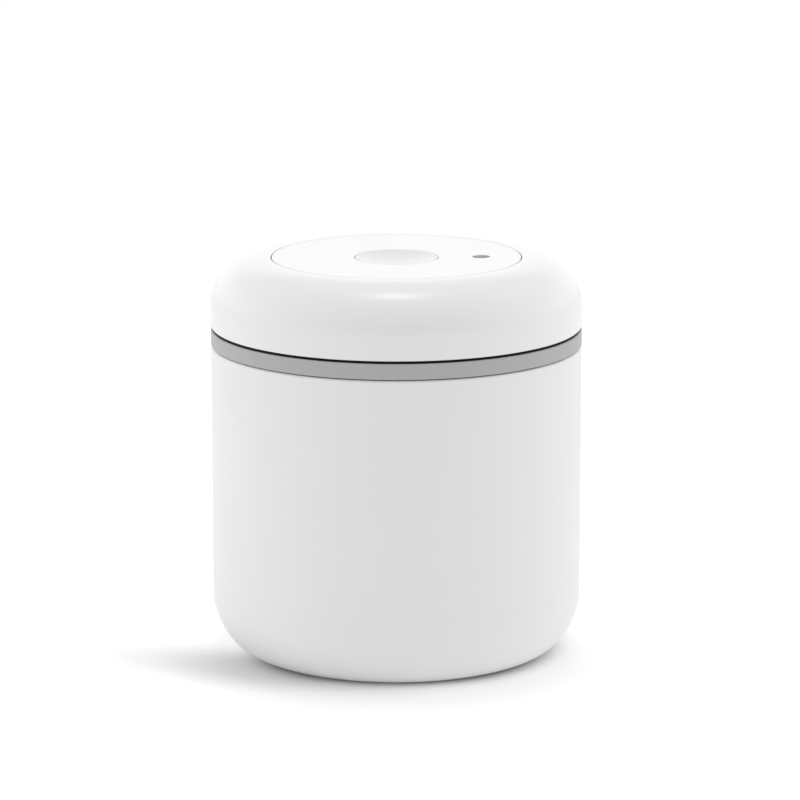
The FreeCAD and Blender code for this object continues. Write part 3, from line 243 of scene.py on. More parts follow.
class SealSettings(bpy.types.PropertyGroup):
    """Sizes of the gasket, the valves and the springs."""

    gasket_inner: length("Gasket", "Inside radius of the gasket", 0.0491)
    sleeve_wall: length("Sleeve", "Wall of the gasket's sleeve", 0.0009)
    fin_tip: length("Fin tip", "Radius of the fins", 0.0507)
    fin_height: length("Fin height", "Height of a fin at its root", 0.0009)
    fin_pitch: length("Fin pitch", "Distance between the fins", 0.0016)
    fin_round: length("Fin rounding", "Rounding of the fins", 0.00012)
    flange_round: length("Flange rounding", "Rounding of the gasket's flange", 0.00036)
    flange_bottom: length("Flange", "Height of the underside of the gasket's flange", vessel_high.z)
    cord_share: share("Cord share", "Thickness of a cord seal as a share of its parting line", 0.97)
    line_turn: angle("Line turn", "Angle from a cord seal's parting line to its round face", 8.0)
    large_seal: length("Large seal", "Radius above which a cord seal is spun in finer steps", 0.02)
    poppet_bore: length("Poppet bore", "Bore of the release valve's seal", 0.0016)
    stem_radius: length("Valve stem", "Stem of an umbrella valve", 0.0008)
    bulb_radius: length("Valve bulb", "Bulb that holds the stem", 0.00135)
    bulb_height: length("Bulb height", "Height of that bulb", 0.0013)
    bulb_turn: angle("Bulb turn", "Angle from the middle of that bulb to its end", 60.0)
    flap_edge: length("Flap edge", "Thickness of a flap at its edge", 0.0004)
    flap_rise: length("Flap rise", "Thickness of a flap in the middle", 0.001)
    flap_hollow: share("Flap hollow", "Share of a flap's radius where its underside is highest", 0.8)
    flap_seat: share("Flap seat", "Share of a flap's radius where it touches its seat", 0.98)
    wire_sides: number("Wire sides", "Sides of the wire of a spring", 14)
    wire_steps: number("Wire steps", "Steps of a turn of a spring", 56)
    button_wire: length("Button spring", "Wire of the button's spring", 0.0007)
    button_turns: share("Button turns", "Turns of the button's spring", 3.5)
    pin_wire: length("Indicator spring", "Wire of the indicator's spring", 0.0004)
    pin_turns: share("Indicator turns", "Turns of the indicator's spring", 6.0)


class FinishSettings(bpy.types.PropertyGroup):
    """Colours of the pieces."""

    coat: colour("Coat", "Powder coat of the vessel", 0.83, 0.83, 0.83)
    shell: colour("Shell", "Plastic of the dome and the plate", 0.845, 0.845, 0.845)
    button: colour("Button", "Plastic of the button", 0.79, 0.79, 0.79)
    band: colour("Band", "Plastic of the band", 0.435, 0.435, 0.435)
    # The glide ring is a real part; its near-black tone, darker than the black slip rings, also paints the
    # shade of the running gap.
    glide: colour("Glide ring", "Black ring in the running gap", 0.006, 0.006, 0.006)
    indicator: colour("Indicator", "Head of the indicator", 0.215, 0.215, 0.215)
    inside: colour("Inside plastic", "Plastic of the lid's base and the filter's cap", 0.70, 0.70, 0.69)
    acetal: colour("Acetal", "Pump, piston, cam ring and valve stem", 0.74, 0.72, 0.66)
    gasket: colour("Gasket", "Silicone of the gasket", 0.68, 0.68, 0.67)
    foot: colour("Foot", "Silicone of the foot pad", 0.30, 0.30, 0.30)
    valve: colour("Valves", "Silicone of the valves", 0.34, 0.34, 0.35)
    slip: colour("Slip rings", "Plastic of the slip rings", 0.02, 0.02, 0.02)
    rubber: colour("Rubber", "Cord seals", 0.022, 0.022, 0.024)
    steel: colour("Steel", "Screws, pins, springs and the inside of the vessel", 0.74, 0.73, 0.71)


class StageSettings(bpy.types.PropertyGroup):
    """Floor, light and camera."""

    floor: colour("Floor", "Pale floor", 0.82, 0.82, 0.82)
    floor_size: length("Floor size", "Side of the floor", 14.0)
    # The floor gives light of its own: a painted glow, not a lamp, that also lights the canister from below.
    glow: share("Floor light", "Light of the floor round the canister", 0.273)
    # The unlit spot is a painted shadow: the floor's glow is taken away in a leaning ellipse at the
    # canister's left front.
    painted_shadow_left: length("Spot left", "How far the unlit spot lies to the left", 0.0428)
    painted_shadow_front: length("Spot front", "How far the unlit spot lies to the front", 0.0287)
    painted_shadow_width: length("Spot width", "Half of the width of the unlit spot", 0.0615)
    painted_shadow_depth: length("Spot depth", "Half of the depth of the unlit spot", 0.0279)
    painted_shadow_core: share("Spot core", "Share of the spot that isn't lit at all", 0.157)
    painted_shadow_lean: share("Spot lean", "How far the unlit spot comes forward on its way to the right", 0.391)
    # The stand circle is a painted contact shadow: the glow is taken away under and just round the base, a
    # little to the right.
    painted_contact_shadow: length("Stand", "Radius of the floor that the vessel covers", 0.04)
    painted_contact_shadow_edge: length("Stand edge", "Radius where the floor is lit again", 0.051)
    painted_contact_shadow_right: length("Stand right", "How far that circle lies to the right", 0.004)
    front: share("Front light", "Brightness of the room low down on the camera's side", 0.22)
    side: share("Side light", "Brightness of the room low down at the sides", 1.56)
    back: share("Back light", "Brightness of the room low down behind", 1.4)
    high_front: share("High front light", "Brightness of the room half-way up on the camera's side", 0.65)
    high_side: share("High side light", "Brightness of the room half-way up at the sides", 1.06)
    high_back: share("High back light", "Brightness of the room half-way up behind", 0.62)
    high_start: share("High start", "Sine of the height where the light half-way up begins", 0.25)
    high_end: share("High end", "Sine of the height where that light is full", 0.5)
    ceiling: share("Ceiling light", "Brightness of the room overhead", 0.66)
    ceiling_start: share("Ceiling start", "Sine of the height where the light overhead begins", 0.8)
    ceiling_end: share("Ceiling end", "Sine of the height where that light is full", 0.98)
    tilt: angle("Light turn", "How far the room's light is turned to the left", 4.0)
    key: share("Key", "Power of the lamp at the upper right", 0.2)
    key_size: length("Key size", "Width of that lamp", 0.7)
    key_place: position("Key place", "Place of that lamp", 0.75, 0.40, 1.0)
    top_lamp: share("Top lamp", "Power of the lamp overhead", 2.65)
    top_lamp_size: length("Top lamp size", "Width of that lamp", 0.26)
    top_lamp_place: position("Top lamp place", "Place of that lamp", 0.0, 0.15, 1.3)
    lens: film_length("Lens", "Focal length in millimetres", 184.7)
    sensor: film_length("Sensor", "Width of the camera's sensor in millimetres", 36.0)
    camera_place: position("Camera", "Place of the camera", 0.00109, -1.2165, 0.34106)
    camera_pitch: angle("Pitch", "How far the camera looks down", 12.261)
    near: length("Near", "Nearest distance that the camera sees", 0.05)
    far: length("Far", "Farthest distance that the camera sees", 40.0)


class CanisterSettings(bpy.types.PropertyGroup):
    """All settings of the canister."""

    vessel: bpy.props.PointerProperty(type=VesselSettings)
    lid: bpy.props.PointerProperty(type=LidSettings)
    controls: bpy.props.PointerProperty(type=ControlSettings)
    seals: bpy.props.PointerProperty(type=SealSettings)
    finish: bpy.props.PointerProperty(type=FinishSettings)
    stage: bpy.props.PointerProperty(type=StageSettings)


# Outlines

def bend(across, up, radius, start, end, step):
    """Points along an arc round a centre, from one angle to another in degrees."""
    count = max(2, math.ceil(abs(end - start) / step))
    points = []
    for index in range(count + 1):
        turn = math.radians(start + (end - start) * index / count)
        points.append((across + radius * math.cos(turn), up + radius * math.sin(turn)))
    return points


def rounded(corners):
    """Points of a closed outline whose corners of (across, up, radius) are rounded."""
    points = []
    for index, (across, up, radius) in enumerate(corners):
        here = Vector((across, up))
        if not radius:
            points.append((across, up))
            continue
        before = Vector(corners[index - 1][:2]) - here
        after = Vector(corners[(index + 1) % len(corners)][:2]) - here
        half = before.angle(after) / 2
        before.normalize()
        after.normalize()
        centre = here + (before + after).normalized() * (radius / math.sin(half))
        first = here + before * (radius / math.tan(half)) - centre
        last = here + after * (radius / math.tan(half)) - centre
        begin = math.degrees(math.atan2(first.y, first.x))
        sweep = math.degrees(math.atan2(first.x * last.y - first.y * last.x, first.dot(last)))
        points += bend(centre.x, centre.y, radius, begin, begin + sweep, ROUNDING_STEP)
    return points


# Modelling

def deselect_all():
    """Let go of all that is selected."""
    bpy.ops.object.select_all(action="DESELECT")


def choose(piece):
    """Make a piece the only one selected."""
    deselect_all()
    piece.select_set(True)
    bpy.context.view_layer.objects.active = piece


def spun(name, outline, closed=True, across=0.0, steps=SPIN_STEPS):
    """Draw an outline of (across, up) by extruding a point along it, and spin it round an upright axis."""
    deselect_all()
    start = outline[0]
    bpy.ops.mesh.primitive_plane_add(size=SEED_SIZE, location=(0.0, 0.0, 0.0))
    piece = bpy.context.object
    piece.name = name
    piece.data.name = name
    bpy.ops.object.mode_set(mode="EDIT")
    bpy.ops.mesh.merge(type="CENTER")
    bpy.ops.transform.translate(value=(across + start[0], 0.0, start[1]))
    here = start
    for point in outline[1:] + ([start] if closed else []):
        move = (point[0] - here[0], 0.0, point[1] - here[1])
        bpy.ops.mesh.extrude_vertices_move(TRANSFORM_OT_translate={"value": move})
        here = point
    bpy.ops.mesh.select_all(action="SELECT")
    bpy.ops.mesh.remove_doubles(threshold=MERGE_DISTANCE)
    bpy.ops.mesh.spin(steps=steps, angle=math.tau, use_auto_merge=True,
                      center=(across, 0.0, 0.0), axis=(0.0, 0.0, 1.0))
    bpy.ops.mesh.select_all(action="SELECT")
    bpy.ops.mesh.remove_doubles(threshold=MERGE_DISTANCE)
    bpy.ops.mesh.normals_make_consistent(inside=False)
    bpy.ops.object.mode_set(mode="OBJECT")
    return piece


def combine(piece, other, operation):
    """Cut one piece with another or fuse them. The other one goes, and so do slivers without width."""
    choose(piece)
    bpy.ops.object.modifier_add(type="BOOLEAN")
    step = piece.modifiers[-1]
    step.operation = operation
    step.solver = "EXACT"
    step.object = other
    bpy.ops.object.modifier_apply(modifier=step.name)
    choose(other)
    bpy.ops.object.delete()
    choose(piece)
    bpy.ops.object.mode_set(mode="EDIT")
    bpy.ops.mesh.select_all(action="SELECT")
    bpy.ops.mesh.dissolve_degenerate(threshold=MERGE_DISTANCE)
    bpy.ops.object.mode_set(mode="OBJECT")


def ring_of(piece, count, first=0.0):
    """Copies of a piece evenly round the axis, as one piece."""
    copies = [piece]
    for _ in range(count - 1):
        choose(piece)
        bpy.ops.object.duplicate()
        copies.append(bpy.context.object)
    for index, copy in enumerate(copies):
        choose(copy)
        copy.rotation_euler.z = first + math.tau * index / count
        bpy.ops.object.transform_apply(location=False, rotation=True, scale=False)
    deselect_all()
    for copy in copies:
        copy.select_set(True)
    bpy.context.view_layer.objects.active = piece
    bpy.ops.object.join()
    return piece


def settle(piece, node, body, slot, *names, corner=SHARP_CORNER):
    """Smooth a piece between its corners, give it its finishes, and put it in the place of its node."""
    choose(piece)
    bpy.ops.object.shade_smooth_by_angle(angle=math.radians(corner))
    bpy.ops.object.modifier_add(type="WEIGHTED_NORMAL")
    weighted = piece.modifiers[-1]
    weighted.keep_sharp = True
    bpy.ops.object.modifier_apply(modifier=weighted.name)
    piece.data.materials.clear()
    for name in names:
        piece.data.materials.append(finish_of(name))
    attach(piece, body)
    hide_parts(node)


# Finishes

class Value:
    """A number on its way to a shader, with arithmetic that adds Math nodes."""

    def __init__(self, finish, socket):
        self.finish = finish
        self.socket = socket

    def maths(self, operation, *others):
        """The result of a Math node."""
        inputs = dict(enumerate((self, *others)))
        return self.finish.node("ShaderNodeMath", {"operation": operation}, inputs)

    def part(self, name):
        """Another output of the same node."""
        return Value(self.finish, self.socket.node.outputs[name])

    def diagonal(self, other):
        """The distance that two distances at a right angle make."""
        return (self * self + other * other) ** 0.5

    def __add__(self, other):
        return self.maths("ADD", other)

    def __sub__(self, other):
        return self.maths("SUBTRACT", other)

    def __mul__(self, other):
        return self.maths("MULTIPLY", other)

    def __pow__(self, other):
        return self.maths("POWER", other)

    def __neg__(self):
        return self * -1.0

    def __radd__(self, other):
        return self + other

    def __rsub__(self, other):
        return -self + other

    def __rmul__(self, other):
        return self * other


class Finish:
    """The nodes of one material or of the room's light."""

    def __init__(self, owner):
        self.owner = owner
        owner.use_nodes = True
        self.tree = owner.node_tree
        self.tree.nodes.clear()

    def node(self, kind, settings=None, inputs=None, out=0):
        """Add a node, set it, feed its sockets and give one of its outputs."""
        made = self.tree.nodes.new(kind)
        for key, value in (settings or {}).items():
            if key == "stops":
                for stop, (place, tone) in zip(made.color_ramp.elements, value):
                    stop.position = place
                    stop.color = tone
                for place, tone in value[2:]:
                    made.color_ramp.elements.new(place).color = tone
                made.color_ramp.interpolation = "EASE"
            else:
                setattr(made, key, value)
        for key, value in (inputs or {}).items():
            if isinstance(value, Value):
                self.tree.links.new(value.socket, made.inputs[key])
            else:
                made.inputs[key].default_value = value
        return Value(self, made.outputs[out]) if made.outputs else made

    def place(self):
        """The point on the surface, in metres."""
        return self.node("ShaderNodeTexCoord", out="Object")

    def split(self, vector):
        """How far a vector goes to the right, to the back and up."""
        right = self.node("ShaderNodeSeparateXYZ", None, {0: vector}, "X")
        return right, right.part("Y"), right.part("Z")

    def noise(self, scale, detail=3.0, stretch=(1.0, 1.0, 1.0)):
        """Soft noise between 0 and 1 with a size of about 1 / scale metres."""
        spot = self.node("ShaderNodeMapping", None, {"Vector": self.place(), "Scale": stretch})
        inputs = {"Vector": spot, "Scale": scale, "Detail": detail}
        return self.node("ShaderNodeTexNoise", None, inputs, "Fac")

    def ease(self, value, start, end):
        """A soft step from 0 to 1 between two values."""
        inputs = {"Value": value, "From Min": start, "From Max": end}
        return self.node("ShaderNodeMapRange", {"interpolation_type": "SMOOTHSTEP"}, inputs)

    def between(self, dark, light, factor):
        """A colour between two others."""
        inputs = {0: factor, 6: opaque(dark), 7: opaque(light)}
        return self.node("ShaderNodeMix", {"data_type": "RGBA", "clamp_factor": True}, inputs, 2)

    def bump(self, height, distance, strength=1.0):
        """The surface's normal, moved by a height."""
        inputs = {"Height": height, "Distance": distance, "Strength": strength}
        return self.node("ShaderNodeBump", None, inputs)

    def shade(self, **inputs):
        """End the material in a shader."""
        named = {key.replace("_", " "): value for key, value in inputs.items()}
        shader = self.node("ShaderNodeBsdfPrincipled", None, named)
        self.node("ShaderNodeOutputMaterial", None, {"Surface": shader})
        return self.owner


def grey(level):
    """A grey as a socket takes it."""
    return (level, level, level, 1.0)


def opaque(tone):
    """A colour as a socket takes it."""
    return tone if isinstance(tone, Value) else (*tone, 1.0)


def darker(tone, factor):
    """A colour with less light."""
    return tuple(part * factor for part in tone)


def new_finish(name):
    """An empty material."""
    return Finish(bpy.data.materials.new(name))


def powder_coat(tone):
    """Matt powder coat with a fine orange peel and hardly visible clouding."""
    finish = new_finish("white_powder_coat")
    peel = finish.noise(scale=1400.0, detail=2.0)
    grain = finish.noise(scale=5200.0, detail=2.0)
    cloud = finish.noise(scale=38.0, detail=3.0)
    return finish.shade(
        Base_Color=finish.between(darker(tone, 0.975), tone, cloud * 0.7 + grain * 0.3),
        Roughness=0.38 + cloud * 0.06 + grain * 0.06,
        IOR=1.42,
        Normal=finish.bump(peel * 0.7 + grain * 0.3, distance=0.000012, strength=0.6),
    )


def moulded_plastic(name, tone, roughness, gloss=1.46):
    """Moulded plastic with the fine spark texture of its tool."""
    finish = new_finish(name)
    spark = finish.noise(scale=4200.0, detail=3.0)
    flow = finish.noise(scale=30.0, detail=2.0)
    return finish.shade(
        Base_Color=finish.between(darker(tone, 0.98), tone, flow * 0.6 + spark * 0.4),
        Roughness=roughness - 0.04 + flow * 0.05 + spark * 0.05,
        IOR=gloss,
        Normal=finish.bump(spark, distance=0.000006, strength=0.6),
    )


def silicone(name, tone):
    """Soft silicone with a dry, slightly dusty face."""
    finish = new_finish(name)
    dust = finish.noise(scale=900.0, detail=4.0)
    cloud = finish.noise(scale=60.0, detail=2.0)
    return finish.shade(
        Base_Color=finish.between(darker(tone, 0.93), tone, dust * 0.5 + cloud * 0.5),
        Roughness=0.52 + dust * 0.16,
        IOR=1.41,
        Subsurface_Weight=0.08,
        Subsurface_Radius=(0.0012, 0.0012, 0.0012),
        Normal=finish.bump(dust, distance=0.000008, strength=0.5),
    )


def seal_rubber(tone):
    """Black rubber with a faint bloom."""
    finish = new_finish("black_seal_rubber")
    bloom = finish.noise(scale=700.0, detail=4.0)
    return finish.shade(
        Base_Color=finish.between(tone, tuple(part + 0.03 for part in tone), bloom * bloom),
        Roughness=0.5 + bloom * 0.2,
        Normal=finish.bump(bloom, distance=0.00001, strength=0.5),
    )


def acetal(tone):
    """Natural acetal with faint turning marks round the axis."""
    finish = new_finish("natural_acetal")
    right, back, up = finish.split(finish.place())
    pitch = 9000.0
    marks = (right.diagonal(back) * pitch + up * pitch).maths("SINE") * 0.5 + 0.5
    wander = finish.noise(scale=160.0, detail=3.0)
    return finish.shade(
        Base_Color=finish.between(darker(tone, 0.94), tone, marks * 0.3 + wander * 0.7),
        Roughness=0.3 + wander * 0.12,
        Subsurface_Weight=0.1,
        Subsurface_Radius=(0.001, 0.001, 0.0008),
        Normal=finish.bump(marks * wander, distance=0.000006, strength=0.5),
    )


def brushed_steel(tone):
    """Steel brushed round the axis of the vessel."""
    finish = new_finish("brushed_steel_inside")
    right, back, up = finish.split(finish.place())
    pitch = 5200.0
    along = 14.0
    stroke = {"X": right.diagonal(back) * pitch, "Y": right * along, "Z": up * pitch}
    ring = finish.node("ShaderNodeCombineXYZ", None, stroke)
    lines = finish.node("ShaderNodeTexNoise", None, {"Vector": ring, "Scale": 1.0, "Detail": 4.0}, "Fac")
    cloud = finish.noise(scale=45.0, detail=3.0)
    return finish.shade(
        Base_Color=finish.between(darker(tone, 0.86), tone, lines * 0.6 + cloud * 0.4),
        Metallic=1.0,
        Roughness=0.24 + lines * 0.16 + cloud * 0.06,
        Normal=finish.bump(lines, distance=0.000008, strength=0.6),
    )


def plain_steel(tone):
    """Rolled and headed steel of screws, springs and the stem."""
    finish = new_finish("plain_steel")
    drawn = finish.noise(scale=2600.0, detail=3.0, stretch=(1.0, 1.0, 0.12))
    cloud = finish.noise(scale=220.0, detail=3.0)
    return finish.shade(
        Base_Color=finish.between(darker(tone, 0.8), tone, drawn * 0.5 + cloud * 0.5),
        Metallic=1.0,
        Roughness=0.22 + drawn * 0.14,
        Normal=finish.bump(drawn, distance=0.000006, strength=0.5),
    )


def woven_filter(tone):
    """Fine woven filter: two sets of threads that cross."""
    finish = new_finish("woven_filter")
    right, back, _ = finish.split(finish.place())
    pitch = 9000.0
    warp = (right * pitch).maths("SINE").maths("ABSOLUTE")
    weft = (back * pitch).maths("SINE").maths("ABSOLUTE")
    threads = warp.maths("MAXIMUM", weft)
    return finish.shade(
        Base_Color=finish.between(darker(tone, 0.25), tone, threads ** 2.0),
        Metallic=0.6,
        Roughness=0.38 + warp * 0.1,
        Normal=finish.bump(warp + weft, distance=0.00006, strength=0.8),
    )


finishes = {}


def finish_of(name):
    """The material of a finish, made once."""
    if name not in finishes:
        tones = bpy.context.scene.canister.finish
        makers = {
            "coat": lambda: powder_coat(tones.coat),
            "shell": lambda: moulded_plastic("white_satin_plastic", tones.shell, 0.32),
            "button": lambda: moulded_plastic("white_button_plastic", tones.button, 0.36),
            "band": lambda: moulded_plastic("grey_moulded_band", tones.band, 0.5),
            "glide": lambda: moulded_plastic("black_glide_strip", tones.glide, 0.6, 1.2),
            "indicator": lambda: moulded_plastic("grey_indicator", tones.indicator, 0.45),
            "inside": lambda: moulded_plastic("white_pump_plastic", tones.inside, 0.4),
            "acetal": lambda: acetal(tones.acetal),
            "gasket": lambda: silicone("white_silicone", tones.gasket),
            "foot": lambda: silicone("grey_silicone", tones.foot),
            "rubber": lambda: seal_rubber(tones.rubber),
            "brushed": lambda: brushed_steel(tones.steel),
            "steel": lambda: plain_steel(tones.steel),
            "slip": lambda: moulded_plastic("black_slip_plastic", tones.slip, 0.5),
            "valve": lambda: silicone("grey_valve_silicone", tones.valve),
            "filter": lambda: woven_filter(tones.steel),
        }
        finishes[name] = makers[name]()
    return finishes[name]


# Pieces

class MakeVessel(bpy.types.Operator):
    """Model the steel vessel with its rounded base and rolled rim"""

    bl_idname = "canister.vessel"
    bl_label = "Vessel"

    def execute(self, context):
        v = context.scene.canister.vessel
        turn = math.degrees(v.arc_turn)
        bottom = vessel_low.z
        top = vessel_high.z
        arc_middle = v.radius - v.wall_arc
        under_start = arc_middle + (v.wall_arc - v.under_arc) * math.cos(v.arc_turn)
        wall_start = bottom + v.under_arc + (v.wall_arc - v.under_arc) * math.sin(v.arc_turn)
        recess_edge = under_start - v.base_rim
        recess_inner = recess_edge - v.base_recess
        rim = v.rim_round
        inside = v.radius - v.wall
        lip = v.mouth + v.wall
        recess = bottom + v.base_recess
        outline = [(0.0, recess), (recess_inner, recess), (recess_edge, bottom)]
        outline += bend(under_start, bottom + v.under_arc, v.under_arc, -90.0, -turn, SHOWN_STEP)
        outline += bend(arc_middle, wall_start, v.wall_arc, -turn, 0.0, SHOWN_STEP)[1:]
        outline += bend(v.radius - rim, top - rim, rim, 0.0, 90.0, ROUNDING_STEP)
        outline += bend(v.mouth + rim, top - rim, rim, 90.0, 180.0, ROUNDING_STEP)
        half = v.wall / 2
        outline += bend(v.mouth + half, top - v.lip_depth + half, half, 180.0, 360.0, LIP_STEP)
        outline += [(lip, top - v.wall), (inside, top - v.wall)]
        outline += bend(arc_middle, wall_start, v.wall_arc - v.wall, 0.0, -turn, INNER_STEP)
        under_inner = v.under_arc - v.wall
        outline += bend(under_start, bottom + v.under_arc, under_inner, -turn, -90.0, INNER_STEP)[1:]
        outline += [(recess_edge, bottom + v.wall), (recess_inner, recess + v.wall), (0.0, recess + v.wall)]
        piece = spun("vessel_shell", outline, closed=False)
        settle(piece, "vessel", "jar", "white_coated_steel", "coat", "brushed")
        for face in piece.data.polygons:
            centre = face.center
            across = math.hypot(centre.x, centre.y)
            outward = (face.normal.x * centre.x + face.normal.y * centre.y) / max(across, MERGE_DISTANCE)
            on_floor = face.normal.z > FACES_UP and across < v.radius - v.rim_round
            on_wall = outward < FACES_INWARD and centre.z > bottom + v.wall
            on_lip = across < lip + MERGE_DISTANCE and centre.z > top - v.lip_depth - v.wall
            if on_floor or on_wall or on_lip:
                face.material_index = 1
        return {"FINISHED"}


class MakeFoot(bpy.types.Operator):
    """Model the foot pad with its grooves"""

    bl_idname = "canister.foot"
    bl_label = "Foot pad"

    def execute(self, context):
        v = context.scene.canister.vessel
        outer = foot_high.x
        inner = outer - v.foot_width
        bottom = foot_low.z
        corners = [(inner, bottom, v.foot_round)]
        for index in range(v.foot_grooves):
            middle = inner + v.foot_width * (index + 1) / (v.foot_grooves + 1)
            corners.append((middle - v.groove_mouth, bottom, v.groove_round))
            corners.append((middle - v.groove_floor, bottom + v.foot_groove, v.groove_round))
            corners.append((middle + v.groove_floor, bottom + v.foot_groove, v.groove_round))
            corners.append((middle + v.groove_mouth, bottom, v.groove_round))
        corners += [(outer, bottom, v.foot_round), (outer, foot_high.z, 0.0), (inner, foot_high.z, 0.0)]
        piece = spun("foot_ring", rounded(corners))
        settle(piece, "foot_pad", "jar", "grey_silicone", "foot")
        return {"FINISHED"}


class MakeBand(bpy.types.Operator):
    """Model the band under the dome, and the black ring in the running gap"""

    bl_idname = "canister.band"
    bl_label = "Band and glide ring"

    def execute(self, context):
        v = context.scene.canister.lid
        outer = band_high.x
        inner = outer - v.band_width
        spigot_inner = v.spigot_outer - v.spigot_wall
        fine = v.band_round / 2
        band = spun("lid_band", rounded([
            (inner, v.band_bottom, fine),
            (outer, v.band_bottom, v.band_round),
            (outer, v.band_top, v.band_round),
            (v.spigot_outer, v.band_top, 0.0),
            (v.spigot_outer, band_high.z, fine),
            (spigot_inner, band_high.z, fine),
            (spigot_inner, v.band_top, 0.0),
            (v.band_lip_inner, v.band_top, fine),
            (v.band_lip_inner, v.band_top - v.band_lip, fine),
            (inner, v.band_top - v.band_lip, 0.0),
        ]))
        hole_top = v.band_top + v.band_lip
        hole = spun("holes", [
            (0.0, v.band_bottom),
            (v.band_screw_hole, v.band_bottom),
            (v.band_screw_hole, hole_top),
            (0.0, hole_top),
        ], False, v.band_screw_circle, PEG_STEPS)
        combine(band, ring_of(hole, v.band_screws), "DIFFERENCE")
        settle(band, "base_ring", "lid", "grey_plastic", "band")
        edge = (glide_high.z - glide_low.z) / 4
        # The black ring's near-black tone also paints the shade of the running gap.
        glide_inner = v.spigot_outer + v.glide_gap
        glide = spun("black_gap_ring", rounded([
            (glide_inner, glide_low.z, edge),
            (glide_high.x, glide_low.z, edge),
            (glide_high.x, glide_high.z, edge),
            (glide_inner, glide_high.z, edge),
        ]))
        settle(glide, "glide_ring", "lid", "black_plastic", "glide")
        return {"FINISHED"}


class MakeDome(bpy.types.Operator):
    """Model the dome with the hook under the plate and the notched collar"""

    bl_idname = "canister.dome"
    bl_label = "Dome"

    def execute(self, context):
        v = context.scene.canister.lid
        radius = dome_high.x
        bottom = dome_low.z
        turn = math.degrees(v.crown_turn)
        spread = v.crown_arc - v.shoulder_arc
        crown_start = radius - v.shoulder_arc - spread * math.sin(v.crown_turn)
        crown_middle = lid_top - v.crown_arc
        shoulder_across = radius - v.shoulder_arc
        shoulder_up = crown_middle + spread * math.cos(v.crown_turn)
        dome_edge = crown_start - v.crown_flat
        hook_inner = dome_edge - v.seam - v.hook_overlap
        collar_outer = v.collar_inner + v.collar_wall
        inner_crown = v.crown_arc - v.dome_wall
        inner_shoulder = v.shoulder_arc - v.dome_wall
        meet = math.degrees(math.acos((collar_outer - crown_start) / inner_crown))
        edge = v.plate_round
        outline = bend(radius - v.edge_round, bottom + v.edge_round, v.edge_round, -90.0, 0.0, DOME_EDGE_STEP)
        outline += bend(shoulder_across, shoulder_up, v.shoulder_arc, 0.0, 90.0 - turn, SHOWN_STEP)
        outline += bend(crown_start, crown_middle, v.crown_arc, 90.0 - turn, 90.0, SHOWN_STEP)[1:]
        outline += bend(dome_edge + edge, lid_top - edge, edge, 90.0, 180.0, ROUNDING_STEP)
        outline += [(dome_edge, v.hook_top), (hook_inner, v.hook_top), (hook_inner, v.hook_bottom)]
        outline += [(v.collar_inner, v.hook_bottom), (v.collar_inner, v.collar_bottom)]
        outline += [(collar_outer, v.collar_bottom)]
        outline += bend(crown_start, crown_middle, inner_crown, meet, 90.0 - turn, INNER_STEP)
        outline += bend(shoulder_across, shoulder_up, inner_shoulder, 90.0 - turn, 0.0, INNER_STEP)[1:]
        outline += [(radius - v.dome_wall, bottom)]
        dome = spun("dome_shell", outline)
        height = v.notch_top - bottom
        middle = (v.collar_inner + v.collar_wall / 2, 0.0, bottom + height / 2)
        deselect_all()
        bpy.ops.mesh.primitive_cube_add(size=1.0, location=middle)
        notch = bpy.context.object
        notch.scale = (v.collar_wall * 2, v.notch_width, height)
        bpy.ops.object.transform_apply(location=True, rotation=False, scale=True)
        combine(dome, ring_of(notch, v.notches, v.notch_angle), "DIFFERENCE")
        settle(dome, "twist_dome", "dome", "white_plastic", "shell")
        return {"FINISHED"}


class MakePlate(bpy.types.Operator):
    """Model the plate on top, its pegs and the hole for the indicator"""

    bl_idname = "canister.plate"
    bl_label = "Top plate"

    def execute(self, context):
        v = context.scene.canister.lid
        top = plate_high.z
        inner_top = button_high.z
        bottom = top - v.plate_thickness
        radius = plate_high.x
        pin_top = top - (top - inner_top) * (radius - pin_axis) / (radius - v.button_hole)
        edge = v.plate_round
        plate = spun("deck_plate", rounded([
            (v.button_hole, bottom, 0.0),
            (radius, bottom, 0.0),
            (radius, top, edge),
            (v.button_hole, inner_top, edge),
        ]))
        flare = v.pin_flare
        hole = [(0.0, bottom - flare), (v.pin_hole, bottom - flare)]
        hole += bend(v.pin_hole + flare, pin_top - flare, flare, 180.0, 90.0, FLARE_STEP)
        hole += [(v.pin_hole + flare, top + flare), (0.0, top + flare)]
        combine(plate, spun("hole", hole, False, pin_axis, SMALL_STEPS), "DIFFERENCE")
        buried = bottom + v.plate_thickness / 3
        chamfer = v.peg_radius / 5
        peg = spun("pegs", [
            (0.0, plate_low.z),
            (v.peg_radius - chamfer, plate_low.z),
            (v.peg_radius, plate_low.z + chamfer),
            (v.peg_radius, v.peg_stand),
            (v.peg_shoulder, v.peg_stand),
            (v.peg_shoulder, buried),
            (0.0, buried),
        ], False, v.peg_circle, PEG_STEPS)
        combine(plate, ring_of(peg, v.pegs, v.peg_angle), "UNION")
        settle(plate, "top_plate", "lid", "white_plastic", "shell")
        return {"FINISHED"}


